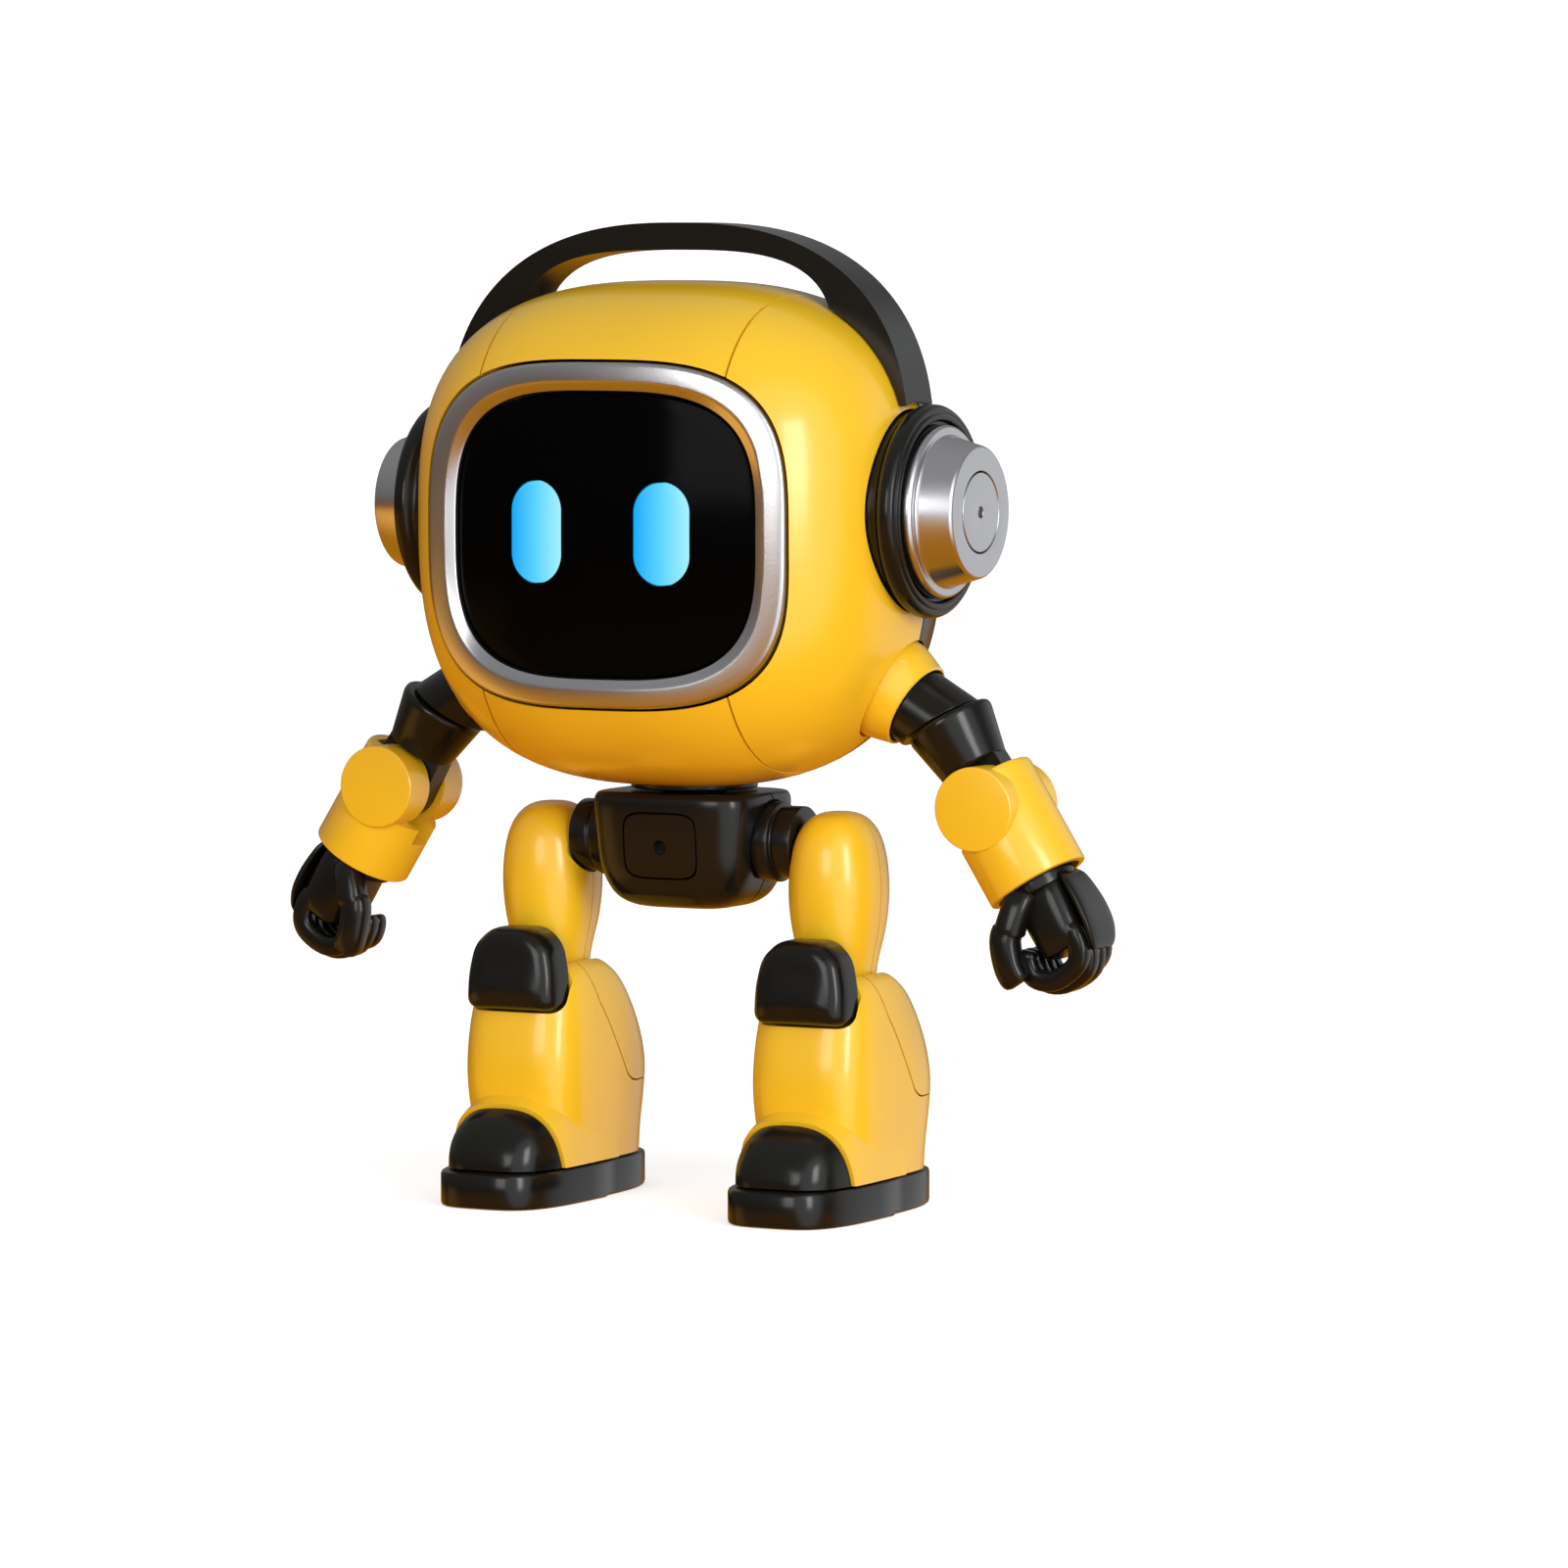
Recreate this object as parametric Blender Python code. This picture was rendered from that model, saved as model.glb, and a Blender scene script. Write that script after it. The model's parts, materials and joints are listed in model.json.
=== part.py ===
"""Walking toy robot, about 130 mm tall, as an assembly of separate pieces.

The robot faces -Y, its own left hand is on the +X side and its soles stand on Z = 0.
Every length below is in millimetres; MM turns it into metres when an object is made.
Side pieces are modelled once, on the +X side, and mirrored for the other side.
"""
import math

import bmesh
import bpy
from mathutils import Matrix, Vector

MM = 0.001
GAP = 0.3                      # clearance between neighbouring pieces
WALL = 2.0                     # moulded shell thickness
FAR = 60.0                     # longer than the whole robot's half size, for cutting blocks

# Head: a rounded box whose front, back, top and bottom halves have their own reach
HEAD_Y, HEAD_Z = -3.5, 91.6
HEAD_HALF_WIDTH = 34.5
HEAD_FRONT, HEAD_BACK = 27.5, 30.67
HEAD_TOP, HEAD_BOTTOM = 30.65, 35.8
SIDE_POWER, FRONT_POWER, BACK_POWER = 2.78, 2.53, 2.2
CHEEK_SEAM_X = 18.0            # centre band between the two cheek seams
BACK_SEAM_Y = 0.7              # yellow front shells end here and the back cover begins
HEAD_GRID = 8                  # quads along each face of the head's cube grid

# Face: bezel ring, glass and eyes
FACE_Z = 89.5
BEZEL_HALF = (26.27, 22.36)
LIP_HALF = (23.3, 19.7)
BORE_HALF = (22.1, 18.55)
GLASS_HALF = (21.8, 18.25)
FACE_POWER = 3.26
BEZEL_FRONT_Y, BEZEL_BACK_Y = -27.9, -19.5
GLASS_FRONT_Y, GLASS_THICK = -26.9, 1.8
EYE_X, EYE_Z, EYE_WIDTH, EYE_HEIGHT = 9.2, 89.8, 7.7, 13.2

# Headphones
EAR_Y, EAR_Z = -1.8, 92.4
PAD_R, PAD_SPIGOT_R = 13.9, 13.0
POD_FACE_X = 43.0
CAP_R = 5.15
BAND_HALF_DEPTH = 3.8
BAND_CENTRE_Z = 100.0
BAND_HALF_WIDTH, BAND_RISE, BAND_POWER = 34.4, 29.8, 2.45
WINDOW_Z, WINDOW_HALF_WIDTH, WINDOW_RISE, WINDOW_POWER = 112.0, 23.5, 14.2, 3.2

# Arm: collar axis, then the arm axis through the elbow, both in the plane Y = ARM_Y
ARM_Y = -0.4
RIM = Vector((33.05, ARM_Y, 66.97))
COLLAR_DIR = Vector((0.86, 0.0, -0.51)).normalized()
ELBOW = Vector((44.6, ARM_Y, 54.3))
ARM_DIR = Vector((0.532, 0.0, -0.847)).normalized()
ARM_OUT = Vector((-ARM_DIR.z, 0.0, ARM_DIR.x))      # square to the arm, away from the body
PLUG_R, RIM_R, COLLAR_R = 5.2, 5.97, 7.0
SEAM_A = -12.9                 # distances along the arm are counted from the elbow
CONE_END_A = -5.8
DISC_R, DISC_Y, CHEEK_IN_Y = 5.5, 7.1, 2.05
TONGUE_HALF, TONGUE_R = 1.75, 4.6
CUFF_R, CUFF_END_A = 6.85, 11.6
PIN_R = 1.2

# Pelvis, neck and drive
PELVIS_BOTTOM, PELVIS_TOP = 39.5, 55.0
NECK_R, NECK_Z = 8.4, 55.3
HIP_Z = 48.5
GEAR_TEETH, GEAR_PITCH_R, TOOTH_TIP, TOOTH_ROOT = 8, 2.6, 0.3, 0.6
BUTTON_HALF = (5.25, 4.2)
BUTTON_Z = 48.1

# Leg
LEG_X = 21.5
KNEE_Z = 28.5
POCKET_HALF, POCKET_R = 5.2, 6.2
SOLE_TOP = 4.75
BOOT_BOTTOM = 5.05


# ---------------------------------------------------------------- small tools

def clear_scene():
    for obj in list(bpy.data.objects):
        bpy.data.objects.remove(obj, do_unlink=True)


def make_material(name, colour, roughness, metallic=0.0):
    mat = bpy.data.materials.new(name)
    mat.use_nodes = True
    shader = mat.node_tree.nodes["Principled BSDF"]
    shader.inputs["Base Color"].default_value = (*colour, 1.0)
    shader.inputs["Roughness"].default_value = roughness
    shader.inputs["Metallic"].default_value = metallic
    mat.diffuse_color = (*colour, 1.0)
    return mat


def superellipse(half_u, half_v, power, count):
    """Outline points of a rounded box; a higher power gives squarer corners."""
    points = []
    for i in range(count):
        angle = 2 * math.pi * i / count
        cos, sin = math.cos(angle), math.sin(angle)
        u = half_u * math.copysign(abs(cos) ** (2 / power), cos)
        v = half_v * math.copysign(abs(sin) ** (2 / power), sin)
        points.append((u, v))
    return points


def stadium(half_u, half_v, count):
    """Upright slot outline: a half circle above and below a straight stretch."""
    points = []
    for i in range(count):
        angle = 2 * math.pi * (i + 0.5) / count
        lift = math.copysign(half_v - half_u, math.sin(angle))
        points.append((half_u * math.cos(angle), half_u * math.sin(angle) + lift))
    return points


def loft(rings, closed=False):
    """Skin equal rings into one closed body; a ring of one point makes a pole."""
    bm = bmesh.new()
    loops = [[bm.verts.new(point) for point in ring] for ring in rings]
    pairs = list(zip(loops, loops[1:]))
    if closed:
        pairs.append((loops[-1], loops[0]))
    for first, second in pairs:
        count = max(len(first), len(second))
        for i in range(count):
            j = (i + 1) % count
            corners = [first[i % len(first)], first[j % len(first)],
                       second[j % len(second)], second[i % len(second)]]
            bm.faces.new(list(dict.fromkeys(corners)))
    if not closed:
        for end in (loops[0], loops[-1]):
            if len(end) > 1:
                bm.faces.new(end)
    bmesh.ops.recalc_face_normals(bm, faces=bm.faces)
    return bm


def revolve(profile, origin, axis, segments, closed=False):
    """Turn (radius, distance along axis) points about an axis."""
    origin, axis = Vector(origin), Vector(axis).normalized()
    side = axis.orthogonal().normalized()
    across = axis.cross(side)
    rings = []
    for radius, along in profile:
        centre = origin + axis * along
        if radius == 0:
            rings.append([centre])
            continue
        ring = []
        for i in range(segments):
            angle = 2 * math.pi * i / segments
            ring.append(centre + (side * math.cos(angle) + across * math.sin(angle)) * radius)
        rings.append(ring)
    return loft(rings, closed)


def rod(radius, start, end, origin, axis, segments=16):
    return revolve([(radius, start), (radius, end)], origin, axis, segments)


def block(low, high):
    bm = bmesh.new()
    bmesh.ops.create_cube(bm, size=1.0)
    low, high = Vector(low), Vector(high)
    for vert in bm.verts:
        vert.co = Vector((low[i] if vert.co[i] < 0 else high[i] for i in range(3)))
    return bm


def merge_flat(bm):
    """Rejoin faces that lie in one plane."""
    flat = math.radians(0.2)
    bmesh.ops.dissolve_limit(bm, angle_limit=flat, verts=bm.verts, edges=bm.edges)


def slice_off(bm, point, normal):
    """Remove what lies beyond a plane and close the cut."""
    geometry = bm.verts[:] + bm.edges[:] + bm.faces[:]
    cut = bmesh.ops.bisect_plane(bm, geom=geometry, dist=1e-4, plane_co=point,
                                 plane_no=normal, clear_outer=True)
    edges = [item for item in cut["geom_cut"] if isinstance(item, bmesh.types.BMEdge)]
    bmesh.ops.edgeloop_fill(bm, edges=edges)
    bmesh.ops.recalc_face_normals(bm, faces=bm.faces)
    return bm


def make_object(name, bm, material, pivot=(0, 0, 0)):
    """Turn a bmesh in millimetres into an object whose origin is the pivot."""
    pivot = Vector(pivot)
    bmesh.ops.triangulate(bm, faces=bm.faces)
    for vert in bm.verts:
        vert.co = (vert.co - pivot) * MM
    mesh = bpy.data.meshes.new(name)
    bm.to_mesh(mesh)
    bm.free()
    obj = bpy.data.objects.new(name, mesh)
    bpy.context.collection.objects.link(obj)
    obj.location = pivot * MM
    obj.data.materials.append(material)
    return obj


def combine(obj, tool, operation):
    """Cut, join or intersect an object with a tool bmesh, then drop the tool."""
    cutter = make_object("cutter", tool, obj.data.materials[0])
    bpy.context.view_layer.update()
    modifier = obj.modifiers.new("shape", "BOOLEAN")
    modifier.operation = operation
    modifier.solver = "EXACT"
    modifier.object = cutter
    bpy.context.view_layer.update()
    evaluated = obj.evaluated_get(bpy.context.evaluated_depsgraph_get())
    shaped = bmesh.new()
    shaped.from_mesh(evaluated.to_mesh())
    merge_flat(shaped)
    bmesh.ops.triangulate(shaped, faces=shaped.faces)
    obj.modifiers.clear()
    shaped.to_mesh(obj.data)
    shaped.free()
    bpy.data.objects.remove(cutter, do_unlink=True)
    return obj


def cut(obj, tool):
    return combine(obj, tool, "DIFFERENCE")


def join(obj, tool):
    return combine(obj, tool, "UNION")


def keep(obj, tool):
    return combine(obj, tool, "INTERSECT")


def finish(obj, smooth_angle=35.0):
    """Shade round stretches smooth and keep the sharp edges."""
    obj.data.shade_smooth()
    obj.data.set_sharp_from_angle(angle=math.radians(smooth_angle))
    obj.data.name = obj.name
    return obj


def mirror_copy(obj, name):
    """The other side's piece: the same mesh reflected in the plane X = 0."""
    bm = bmesh.new()
    bm.from_mesh(obj.data)
    bmesh.ops.transform(bm, matrix=Matrix.Scale(-1, 4, (1, 0, 0)), verts=bm.verts)
    bmesh.ops.reverse_faces(bm, faces=bm.faces)
    mesh = bpy.data.meshes.new(name)
    bm.to_mesh(mesh)
    bm.free()
    copy = bpy.data.objects.new(name, mesh)
    bpy.context.collection.objects.link(copy)
    copy.location = (-obj.location.x, obj.location.y, obj.location.z)
    copy.data.materials.append(obj.data.materials[0])
    return finish(copy)


def both_sides(base_name, build, *args):
    """Model the left piece, then mirror it into the right one."""
    left = finish(build(base_name + "_left", *args))
    mirror_copy(left, base_name + "_right")


# ---------------------------------------------------------------- head surfaces

def head_point(direction, inset=0.0):
    """Point of the head's surface, or of a surface inset from it, along a direction."""
    width = HEAD_HALF_WIDTH - inset
    height = (HEAD_TOP if direction.z > 0 else HEAD_BOTTOM) - inset
    if direction.y < 0:
        depth, power = HEAD_FRONT - inset, FRONT_POWER
    else:
        depth, power = HEAD_BACK - inset, BACK_POWER
    around = abs(direction.x / width) ** SIDE_POWER + abs(direction.z / height) ** SIDE_POWER
    total = around ** (power / SIDE_POWER) + abs(direction.y / depth) ** power
    return Vector((0, HEAD_Y, HEAD_Z)) + direction * total ** (-1 / power)


def head_solid(inset=0.0, grid=HEAD_GRID):
    """Closed head-shaped body on an evenly spaced cube grid."""
    bm = bmesh.new()
    bmesh.ops.create_cube(bm, size=2.0)
    bmesh.ops.subdivide_edges(bm, edges=bm.edges, cuts=grid - 1, use_grid_fill=True)
    for vert in bm.verts:
        even = Vector(math.tan(value * math.pi / 4) for value in vert.co)
        vert.co = head_point(even, inset)
    bmesh.ops.recalc_face_normals(bm, faces=bm.faces)
    return bm


def bezel_y(x, z):
    return BEZEL_FRONT_Y + x ** 2 / 216 + (z - FACE_Z) ** 2 / 534


def glass_y(x, z):
    return GLASS_FRONT_Y + x ** 2 / 180 + (z - FACE_Z) ** 2 / 400


def face_prism(half, grow, low_y, high_y, count=32):
    """Straight prism along Y with the face's outline."""
    outline = superellipse(half[0] + grow, half[1] + grow, FACE_POWER, count)
    return loft([[(x, y, FACE_Z + z) for x, z in outline] for y in (low_y, high_y)])


def collar_hole(radius):
    return rod(radius, -12.0, 4.0, RIM, COLLAR_DIR, 20)


def mirrored_tool(bm):
    bmesh.ops.transform(bm, matrix=Matrix.Scale(-1, 4, (1, 0, 0)), verts=bm.verts)
    bmesh.ops.reverse_faces(bm, faces=bm.faces)
    return bm


def ear_hole(side):
    return rod(PAD_SPIGOT_R + GAP, side * 28.0, side * 40.0, (0, EAR_Y, EAR_Z), (1, 0, 0), 24)


def hollow_head(name, material):
    """Whole head shell, before it is parted into its mouldings."""
    shell = make_object(name, head_solid(), material)
    cut(shell, head_solid(WALL, HEAD_GRID - 2))
    return shell


def head_part(name, material, low, high):
    """One moulding: the head shell inside a box, with the side openings it shares."""
    part = keep(hollow_head(name, material), block(low, high))
    if low[1] < 0:
        cut(part, face_prism(BEZEL_HALF, 0.35, -FAR, -12.0))
    if high[0] > CHEEK_SEAM_X + 1:
        cut(part, ear_hole(1))
    if low[0] < -CHEEK_SEAM_X - 1:
        cut(part, ear_hole(-1))
    if high[0] > CHEEK_SEAM_X + 1:
        cut(part, collar_hole(COLLAR_R + GAP))
    if low[0] < -CHEEK_SEAM_X - 1:
        cut(part, mirrored_tool(collar_hole(COLLAR_R + GAP)))
    return part


def door_prism(grow, low_y):
    """Rounded rectangle behind the head, for the battery door and its opening."""
    outline = superellipse(20.0 + grow, 13.0 + grow, 6.0, 20)
    rings = [[(x, y, 92.0 + z) for x, z in outline] for y in (low_y, FAR)]
    return loft(rings)


# ---------------------------------------------------------------- head pieces

def build_head_shells(yellow, black):
    front = BACK_SEAM_Y - GAP / 2
    seam_in, seam_out = CHEEK_SEAM_X - 0.1, CHEEK_SEAM_X + 0.2
    centre = head_part("head_centre_shell", yellow, (-seam_in, -FAR, 0), (seam_in, front, 200))
    cut(centre, rod(NECK_R + GAP, 50.0, 70.0, (0, 0, 0), (0, 0, 1), 20))
    bulkhead = make_object("bulkhead", head_solid(1.0, HEAD_GRID - 2), yellow)
    keep(bulkhead, block((-17.4, BEZEL_BACK_Y + GAP, 0), (17.4, BEZEL_BACK_Y + 2.3, 200)))
    cut(bulkhead, face_prism((13.5, 13.5), 0, -FAR, 0, 24))
    tool = bmesh.new()
    tool.from_mesh(bulkhead.data)
    bmesh.ops.scale(tool, vec=(1 / MM, 1 / MM, 1 / MM), verts=tool.verts)
    bpy.data.objects.remove(bulkhead, do_unlink=True)
    finish(join(centre, tool))
    cheek = head_part("head_side_shell_left", yellow, (seam_out, -FAR, 0), (FAR, front, 200))
    finish(cheek)
    mirror_copy(cheek, "head_side_shell_right")
    rear = BACK_SEAM_Y + GAP / 2
    cover = head_part("head_back_cover", black, (-FAR, rear, 0), (FAR, FAR, 200))
    cut(cover, rod(NECK_R + GAP, 50.0, 70.0, (0, 0, 0), (0, 0, 1), 20))
    cut(cover, door_prism(GAP, 18.0))
    finish(cover)


def build_battery_door(black, steel):
    door = keep(hollow_head("battery_door", black), door_prism(0, 18.0))
    screw_z = 82.5
    outer_y = 26.6
    cut(door, rod(2.5, outer_y - 0.9, FAR, (0, 0, screw_z), (0, 1, 0), 16))
    cut(door, rod(1.3, 10.0, FAR, (0, 0, screw_z), (0, 1, 0), 16))
    finish(door)
    head = [(0, outer_y - 6.0), (1.0, outer_y - 6.0), (1.0, outer_y - 0.6),
            (2.2, outer_y - 0.6), (2.2, outer_y + 0.1), (1.9, outer_y + 0.3), (0, outer_y + 0.3)]
    screw = make_object("battery_door_screw", revolve(head, (0, 0, screw_z), (0, 1, 0), 16), steel)
    slot = block((-0.25, outer_y - 0.1, screw_z - 1.5), (0.25, FAR, screw_z + 1.5))
    finish(cut(screw, slot))


def build_face(silver, glass, glow):
    """Silver bezel ring, black lens with two slots, and the two eye lights in them."""
    rings = []
    for half, rise, follow in ((BEZEL_HALF, 0.0, True), (LIP_HALF, 0.0, True),
                               (BORE_HALF, 0.75, True), (BORE_HALF, BEZEL_BACK_Y, False),
                               ((25.4, 21.5), BEZEL_BACK_Y, False), (BEZEL_HALF, 2.0, True)):
        ring = []
        for x, z in superellipse(*half, FACE_POWER, 32):
            y = bezel_y(x, z + FACE_Z) + rise if follow else rise
            ring.append((x, y, FACE_Z + z))
        rings.append(ring)
    finish(make_object("face_bezel", loft(rings, closed=True), silver), 30)

    def pillow(outline, centre_x, centre_z, back):
        """Plate whose front follows the glass; back is a depth behind it."""
        rings = [[(centre_x, glass_y(centre_x, centre_z), centre_z)]]
        for scale, depth in ((0.5, 0), (1.0, 0), (1.0, back)):
            points = [(centre_x + x * scale, centre_z + z * scale) for x, z in outline]
            rings.append([(x, glass_y(x, z) + depth, z) for x, z in points])
        rings.append([(centre_x, glass_y(centre_x, centre_z) + back, centre_z)])
        return loft(rings)

    lens = pillow(superellipse(*GLASS_HALF, FACE_POWER, 28), 0, FACE_Z, GLASS_THICK)
    lens = make_object("screen_lens", lens, glass)
    slot = stadium(EYE_WIDTH / 2 + GAP, EYE_HEIGHT / 2 + GAP, 16)
    for side in (-1, 1):
        rings = [[(side * EYE_X + x, y, EYE_Z + z) for x, z in slot] for y in (-FAR, -15.0)]
        cut(lens, loft(rings))
    finish(lens)
    outline = stadium(EYE_WIDTH / 2, EYE_HEIGHT / 2, 16)
    eye = finish(make_object("eye_light_left", pillow(outline, EYE_X, EYE_Z, 3.2), glow))
    mirror_copy(eye, "eye_light_right")


def build_head_inside(board, dark, cell):
    """Circuit boards, speaker and the two cells that the head holds."""
    outline = superellipse(19.5, 16.0, 5.0, 20)
    rings = [[(x, y, FACE_Z + z) for x, z in outline] for y in (-21.6, -20.4)]
    finish(make_object("display_board", loft(rings), board))
    outline = superellipse(21.0, 18.0, 8.0, 20)
    rings = [[(x, y, 92.0 + z) for x, z in outline] for y in (-3.0, -1.6)]
    finish(make_object("main_board", loft(rings), board))
    cone = [(0, 1.6), (3.0, 1.6), (10.0, 0.0), (11.0, 0.0), (11.0, 3.0), (6.0, 4.6),
            (6.0, 6.2), (0, 6.2)]
    finish(make_object("speaker", revolve(cone, (0, -6.0, 63.5), (0, 0, 1), 16), dark))
    profile = [(0, -22.2), (5.25, -22.2), (5.25, 21.3), (1.9, 21.3), (1.9, 22.2), (0, 22.2)]
    for name, height, turn in (("battery_upper", 98.0, 1), ("battery_lower", 86.0, -1)):
        body = revolve(profile, (0, 13.0, height), (turn, 0, 0), 16)
        finish(make_object(name, body, cell))


def build_headphones(black, silver):
    axis = ((0, EAR_Y, EAR_Z), (1, 0, 0))
    pad = [(0, 31.9), (PAD_SPIGOT_R, 31.9), (PAD_SPIGOT_R, 34.4), (PAD_R, 35.2),
           (PAD_R, 36.5), (13.4, 37.2), (12.4, 37.3), (11.8, 36.5), (0, 36.5)]
    pod = [(0, 36.8), (11.25, 36.8), (11.25, 38.1), (10.9, 38.4), (9.9, 38.4),
           (8.6, 42.8), (8.3, POD_FACE_X), (CAP_R + GAP, POD_FACE_X), (CAP_R + GAP, 41.2),
           (0, 41.2)]
    cap = [(0, 41.5), (CAP_R, 41.5), (4.95, POD_FACE_X), (0.75, POD_FACE_X), (0.75, 42.0),
           (0, 42.0)]

    def turned(name, profile, material, segments):
        return make_object(name, revolve(profile, *axis, segments), material)

    both_sides("ear_pad", turned, pad, black, 20)
    both_sides("ear_pod", turned, pod, silver, 20)
    both_sides("ear_cap", turned, cap, silver, 16)

    low, high = EAR_Y - BAND_HALF_DEPTH, EAR_Y + BAND_HALF_DEPTH
    arch = superellipse(BAND_HALF_WIDTH, BAND_RISE, BAND_POWER, 48)
    arch = [(x, BAND_CENTRE_Z + z) for x, z in arch]
    band = make_object("headband", loft([[(x, y, z) for x, z in arch] for y in (low, high)]), black)
    cut(band, block((-FAR, -FAR, 0), (FAR, FAR, BAND_CENTRE_Z)))
    cut(band, head_solid(-GAP))
    window = superellipse(WINDOW_HALF_WIDTH, WINDOW_RISE, WINDOW_POWER, 32)
    cut(band, loft([[(x, y, WINDOW_Z + z) for x, z in window] for y in (-FAR, FAR)]))
    for side in (-1, 1):
        cut(band, rod(PAD_R + GAP, side * 20.0, side * FAR, *axis, 24))
    finish(band)


# ---------------------------------------------------------------- arm pieces

def along_arm(distance, out=0.0, y=0.0):
    """Point given by distance past the elbow, offset outwards and offset along Y."""
    return ELBOW + ARM_DIR * distance + ARM_OUT * out + Vector((0, y, 0))


def arm_loft(sections, count, power):
    """Sections across the arm: distance, outward centre, Y centre, half out, half Y."""
    rings = []
    for distance, out, y, half_out, half_y in sections:
        outline = superellipse(half_out, half_y, power, count)
        rings.append([along_arm(distance, out + u, y + v) for u, v in outline])
    return loft(rings)


def build_collar(name, material):
    profile = [(PLUG_R + GAP, -7.0), (COLLAR_R, -7.0), (COLLAR_R, -3.7), (6.3, -1.4),
               (RIM_R, -0.3), (5.75, 0.0), (PLUG_R + GAP, 0.0)]
    return make_object(name, revolve(profile, RIM, COLLAR_DIR, 20, closed=True), material)


def build_shoulder(name, material):
    """Round plug in the collar, cut square to the arm, with the upper arm's pivot stub."""
    plug = rod(PLUG_R, -6.5, 14.0, RIM, COLLAR_DIR, 20)
    slice_off(plug, along_arm(SEAM_A - GAP), ARM_DIR)
    shoulder = make_object(name, plug, material, RIM)
    return join(shoulder, rod(2.0, SEAM_A - 3.0, SEAM_A + 2.6, ELBOW, ARM_DIR, 12))


def build_upper_arm(name, material):
    """Tapered barrel with a flat tongue that the elbow pin passes through."""
    profile = [(5.6, SEAM_A), (5.9, SEAM_A + 0.5), (4.5, CONE_END_A), (0, CONE_END_A)]
    barrel = revolve([(0, SEAM_A)] + profile, ELBOW, ARM_DIR, 20)
    arm = make_object(name, barrel, material, along_arm(SEAM_A))
    cut(arm, rod(2.0 + GAP, SEAM_A - 1.0, SEAM_A + 3.0, ELBOW, ARM_DIR, 12))
    round_end = [math.pi * (i / 10 - 0.5) for i in range(11)]
    outline = [(TONGUE_R * math.cos(t), TONGUE_R * math.sin(t)) for t in round_end]
    outline += [(CONE_END_A - 1.0, 4.2), (CONE_END_A - 1.0, -4.2)]
    rings = [[along_arm(a, out, y) for a, out in outline] for y in (-TONGUE_HALF, TONGUE_HALF)]
    join(arm, loft(rings))
    return cut(arm, rod(PIN_R + GAP, -10, 10, ELBOW, (0, 1, 0), 12))


def build_elbow_pin(name, material):
    half = DISC_Y - 1.2
    return make_object(name, rod(PIN_R, -half, half, ELBOW, (0, 1, 0), 12), material, ELBOW)


def build_forearm(name, material):
    """Cuff with two round elbow cheeks and a wall on its outer side."""
    profile = [(0, -3.6), (CUFF_R - 0.4, -3.6), (CUFF_R, -3.1), (CUFF_R, CUFF_END_A),
               (0, CUFF_END_A)]
    sleeve = make_object(name, revolve(profile, ELBOW, ARM_DIR, 20), material, ELBOW)
    inner_side = [along_arm(a, out, y) for y in (-FAR, FAR)
                  for a, out in ((-20, -20), (-20, 3.6), (3.2, 3.6), (3.2, -20))]
    cut(sleeve, loft([inner_side[:4], inner_side[4:]]))
    for side in (-1, 1):
        cheek = [(0, 0.0), (DISC_R, 0.0), (DISC_R, DISC_Y), (0, DISC_Y)]
        join(sleeve, revolve(cheek, ELBOW, (0, side, 0), 16))
    slot = [along_arm(a, out, y) for y in (-CHEEK_IN_Y, CHEEK_IN_Y)
            for a, out in ((-20, -20), (-20, 5.4), (5.4, 5.4), (5.4, -20))]
    cut(sleeve, loft([slot[:4], slot[4:]]))
    cut(sleeve, rod(5.9, 8.0, 20.0, ELBOW, ARM_DIR, 16))
    cut(sleeve, rod(1.9, 6.0, 10.0, ELBOW, ARM_DIR, 12))
    half = DISC_Y - 1.0
    return cut(sleeve, rod(PIN_R + GAP, -half, half, ELBOW, (0, 1, 0), 12))


def build_hand(name, material):
    """Closed fist on a wrist peg: palm, curled finger block and thumb."""
    wrist = revolve([(0, 6.6), (1.6, 6.6), (1.6, 8.3), (5.0, 8.3), (5.0, 13.0), (0, 13.0)],
                    ELBOW, ARM_DIR, 12)
    hand = make_object(name, wrist, material, along_arm(CUFF_END_A))
    palm = [(12.0, 0.2, 0.0, 3.9, 3.9), (14.0, 0.3, 0.0, 3.9, 4.3), (18.0, 0.2, 0.0, 3.8, 4.6),
            (21.0, 0.0, 0.0, 3.6, 4.6), (22.2, -0.2, 0.0, 3.0, 4.1)]
    join(hand, arm_loft(palm, 12, 3.0))
    fingers = [(17.8, -3.6, 0.0, 2.0, 3.4), (18.6, -3.4, 0.0, 3.2, 4.1),
               (22.4, -2.2, 0.0, 4.6, 4.5), (24.2, -2.0, 0.0, 4.2, 4.3),
               (25.4, -2.0, 0.0, 2.8, 3.6)]
    join(hand, arm_loft(fingers, 12, 3.0))
    thumb = [(13.2, -2.6, -3.8, 1.4, 1.4), (14.4, -3.8, -4.6, 2.2, 2.0),
             (17.4, -5.8, -5.4, 2.3, 2.1), (20.6, -6.8, -5.4, 2.1, 2.0),
             (22.0, -6.8, -5.2, 1.2, 1.2)]
    return join(hand, arm_loft(thumb, 8, 2.2))


def build_back_plate(name, material):
    """Curved guard on the back of the hand."""
    sections = ((13.3, 4.85, 0.35, 3.2), (14.3, 5.05, 0.5, 3.6), (17.0, 5.05, 0.55, 3.9),
                (20.0, 4.8, 0.5, 4.0), (22.0, 4.2, 0.45, 3.6), (23.2, 3.6, 0.3, 2.8))
    rings = [(a, out, 0.0, half, width) for a, out, half, width in sections]
    return make_object(name, arm_loft(rings, 14, 3.0), material, along_arm(CUFF_END_A))


# ---------------------------------------------------------------- pelvis and drive

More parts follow.
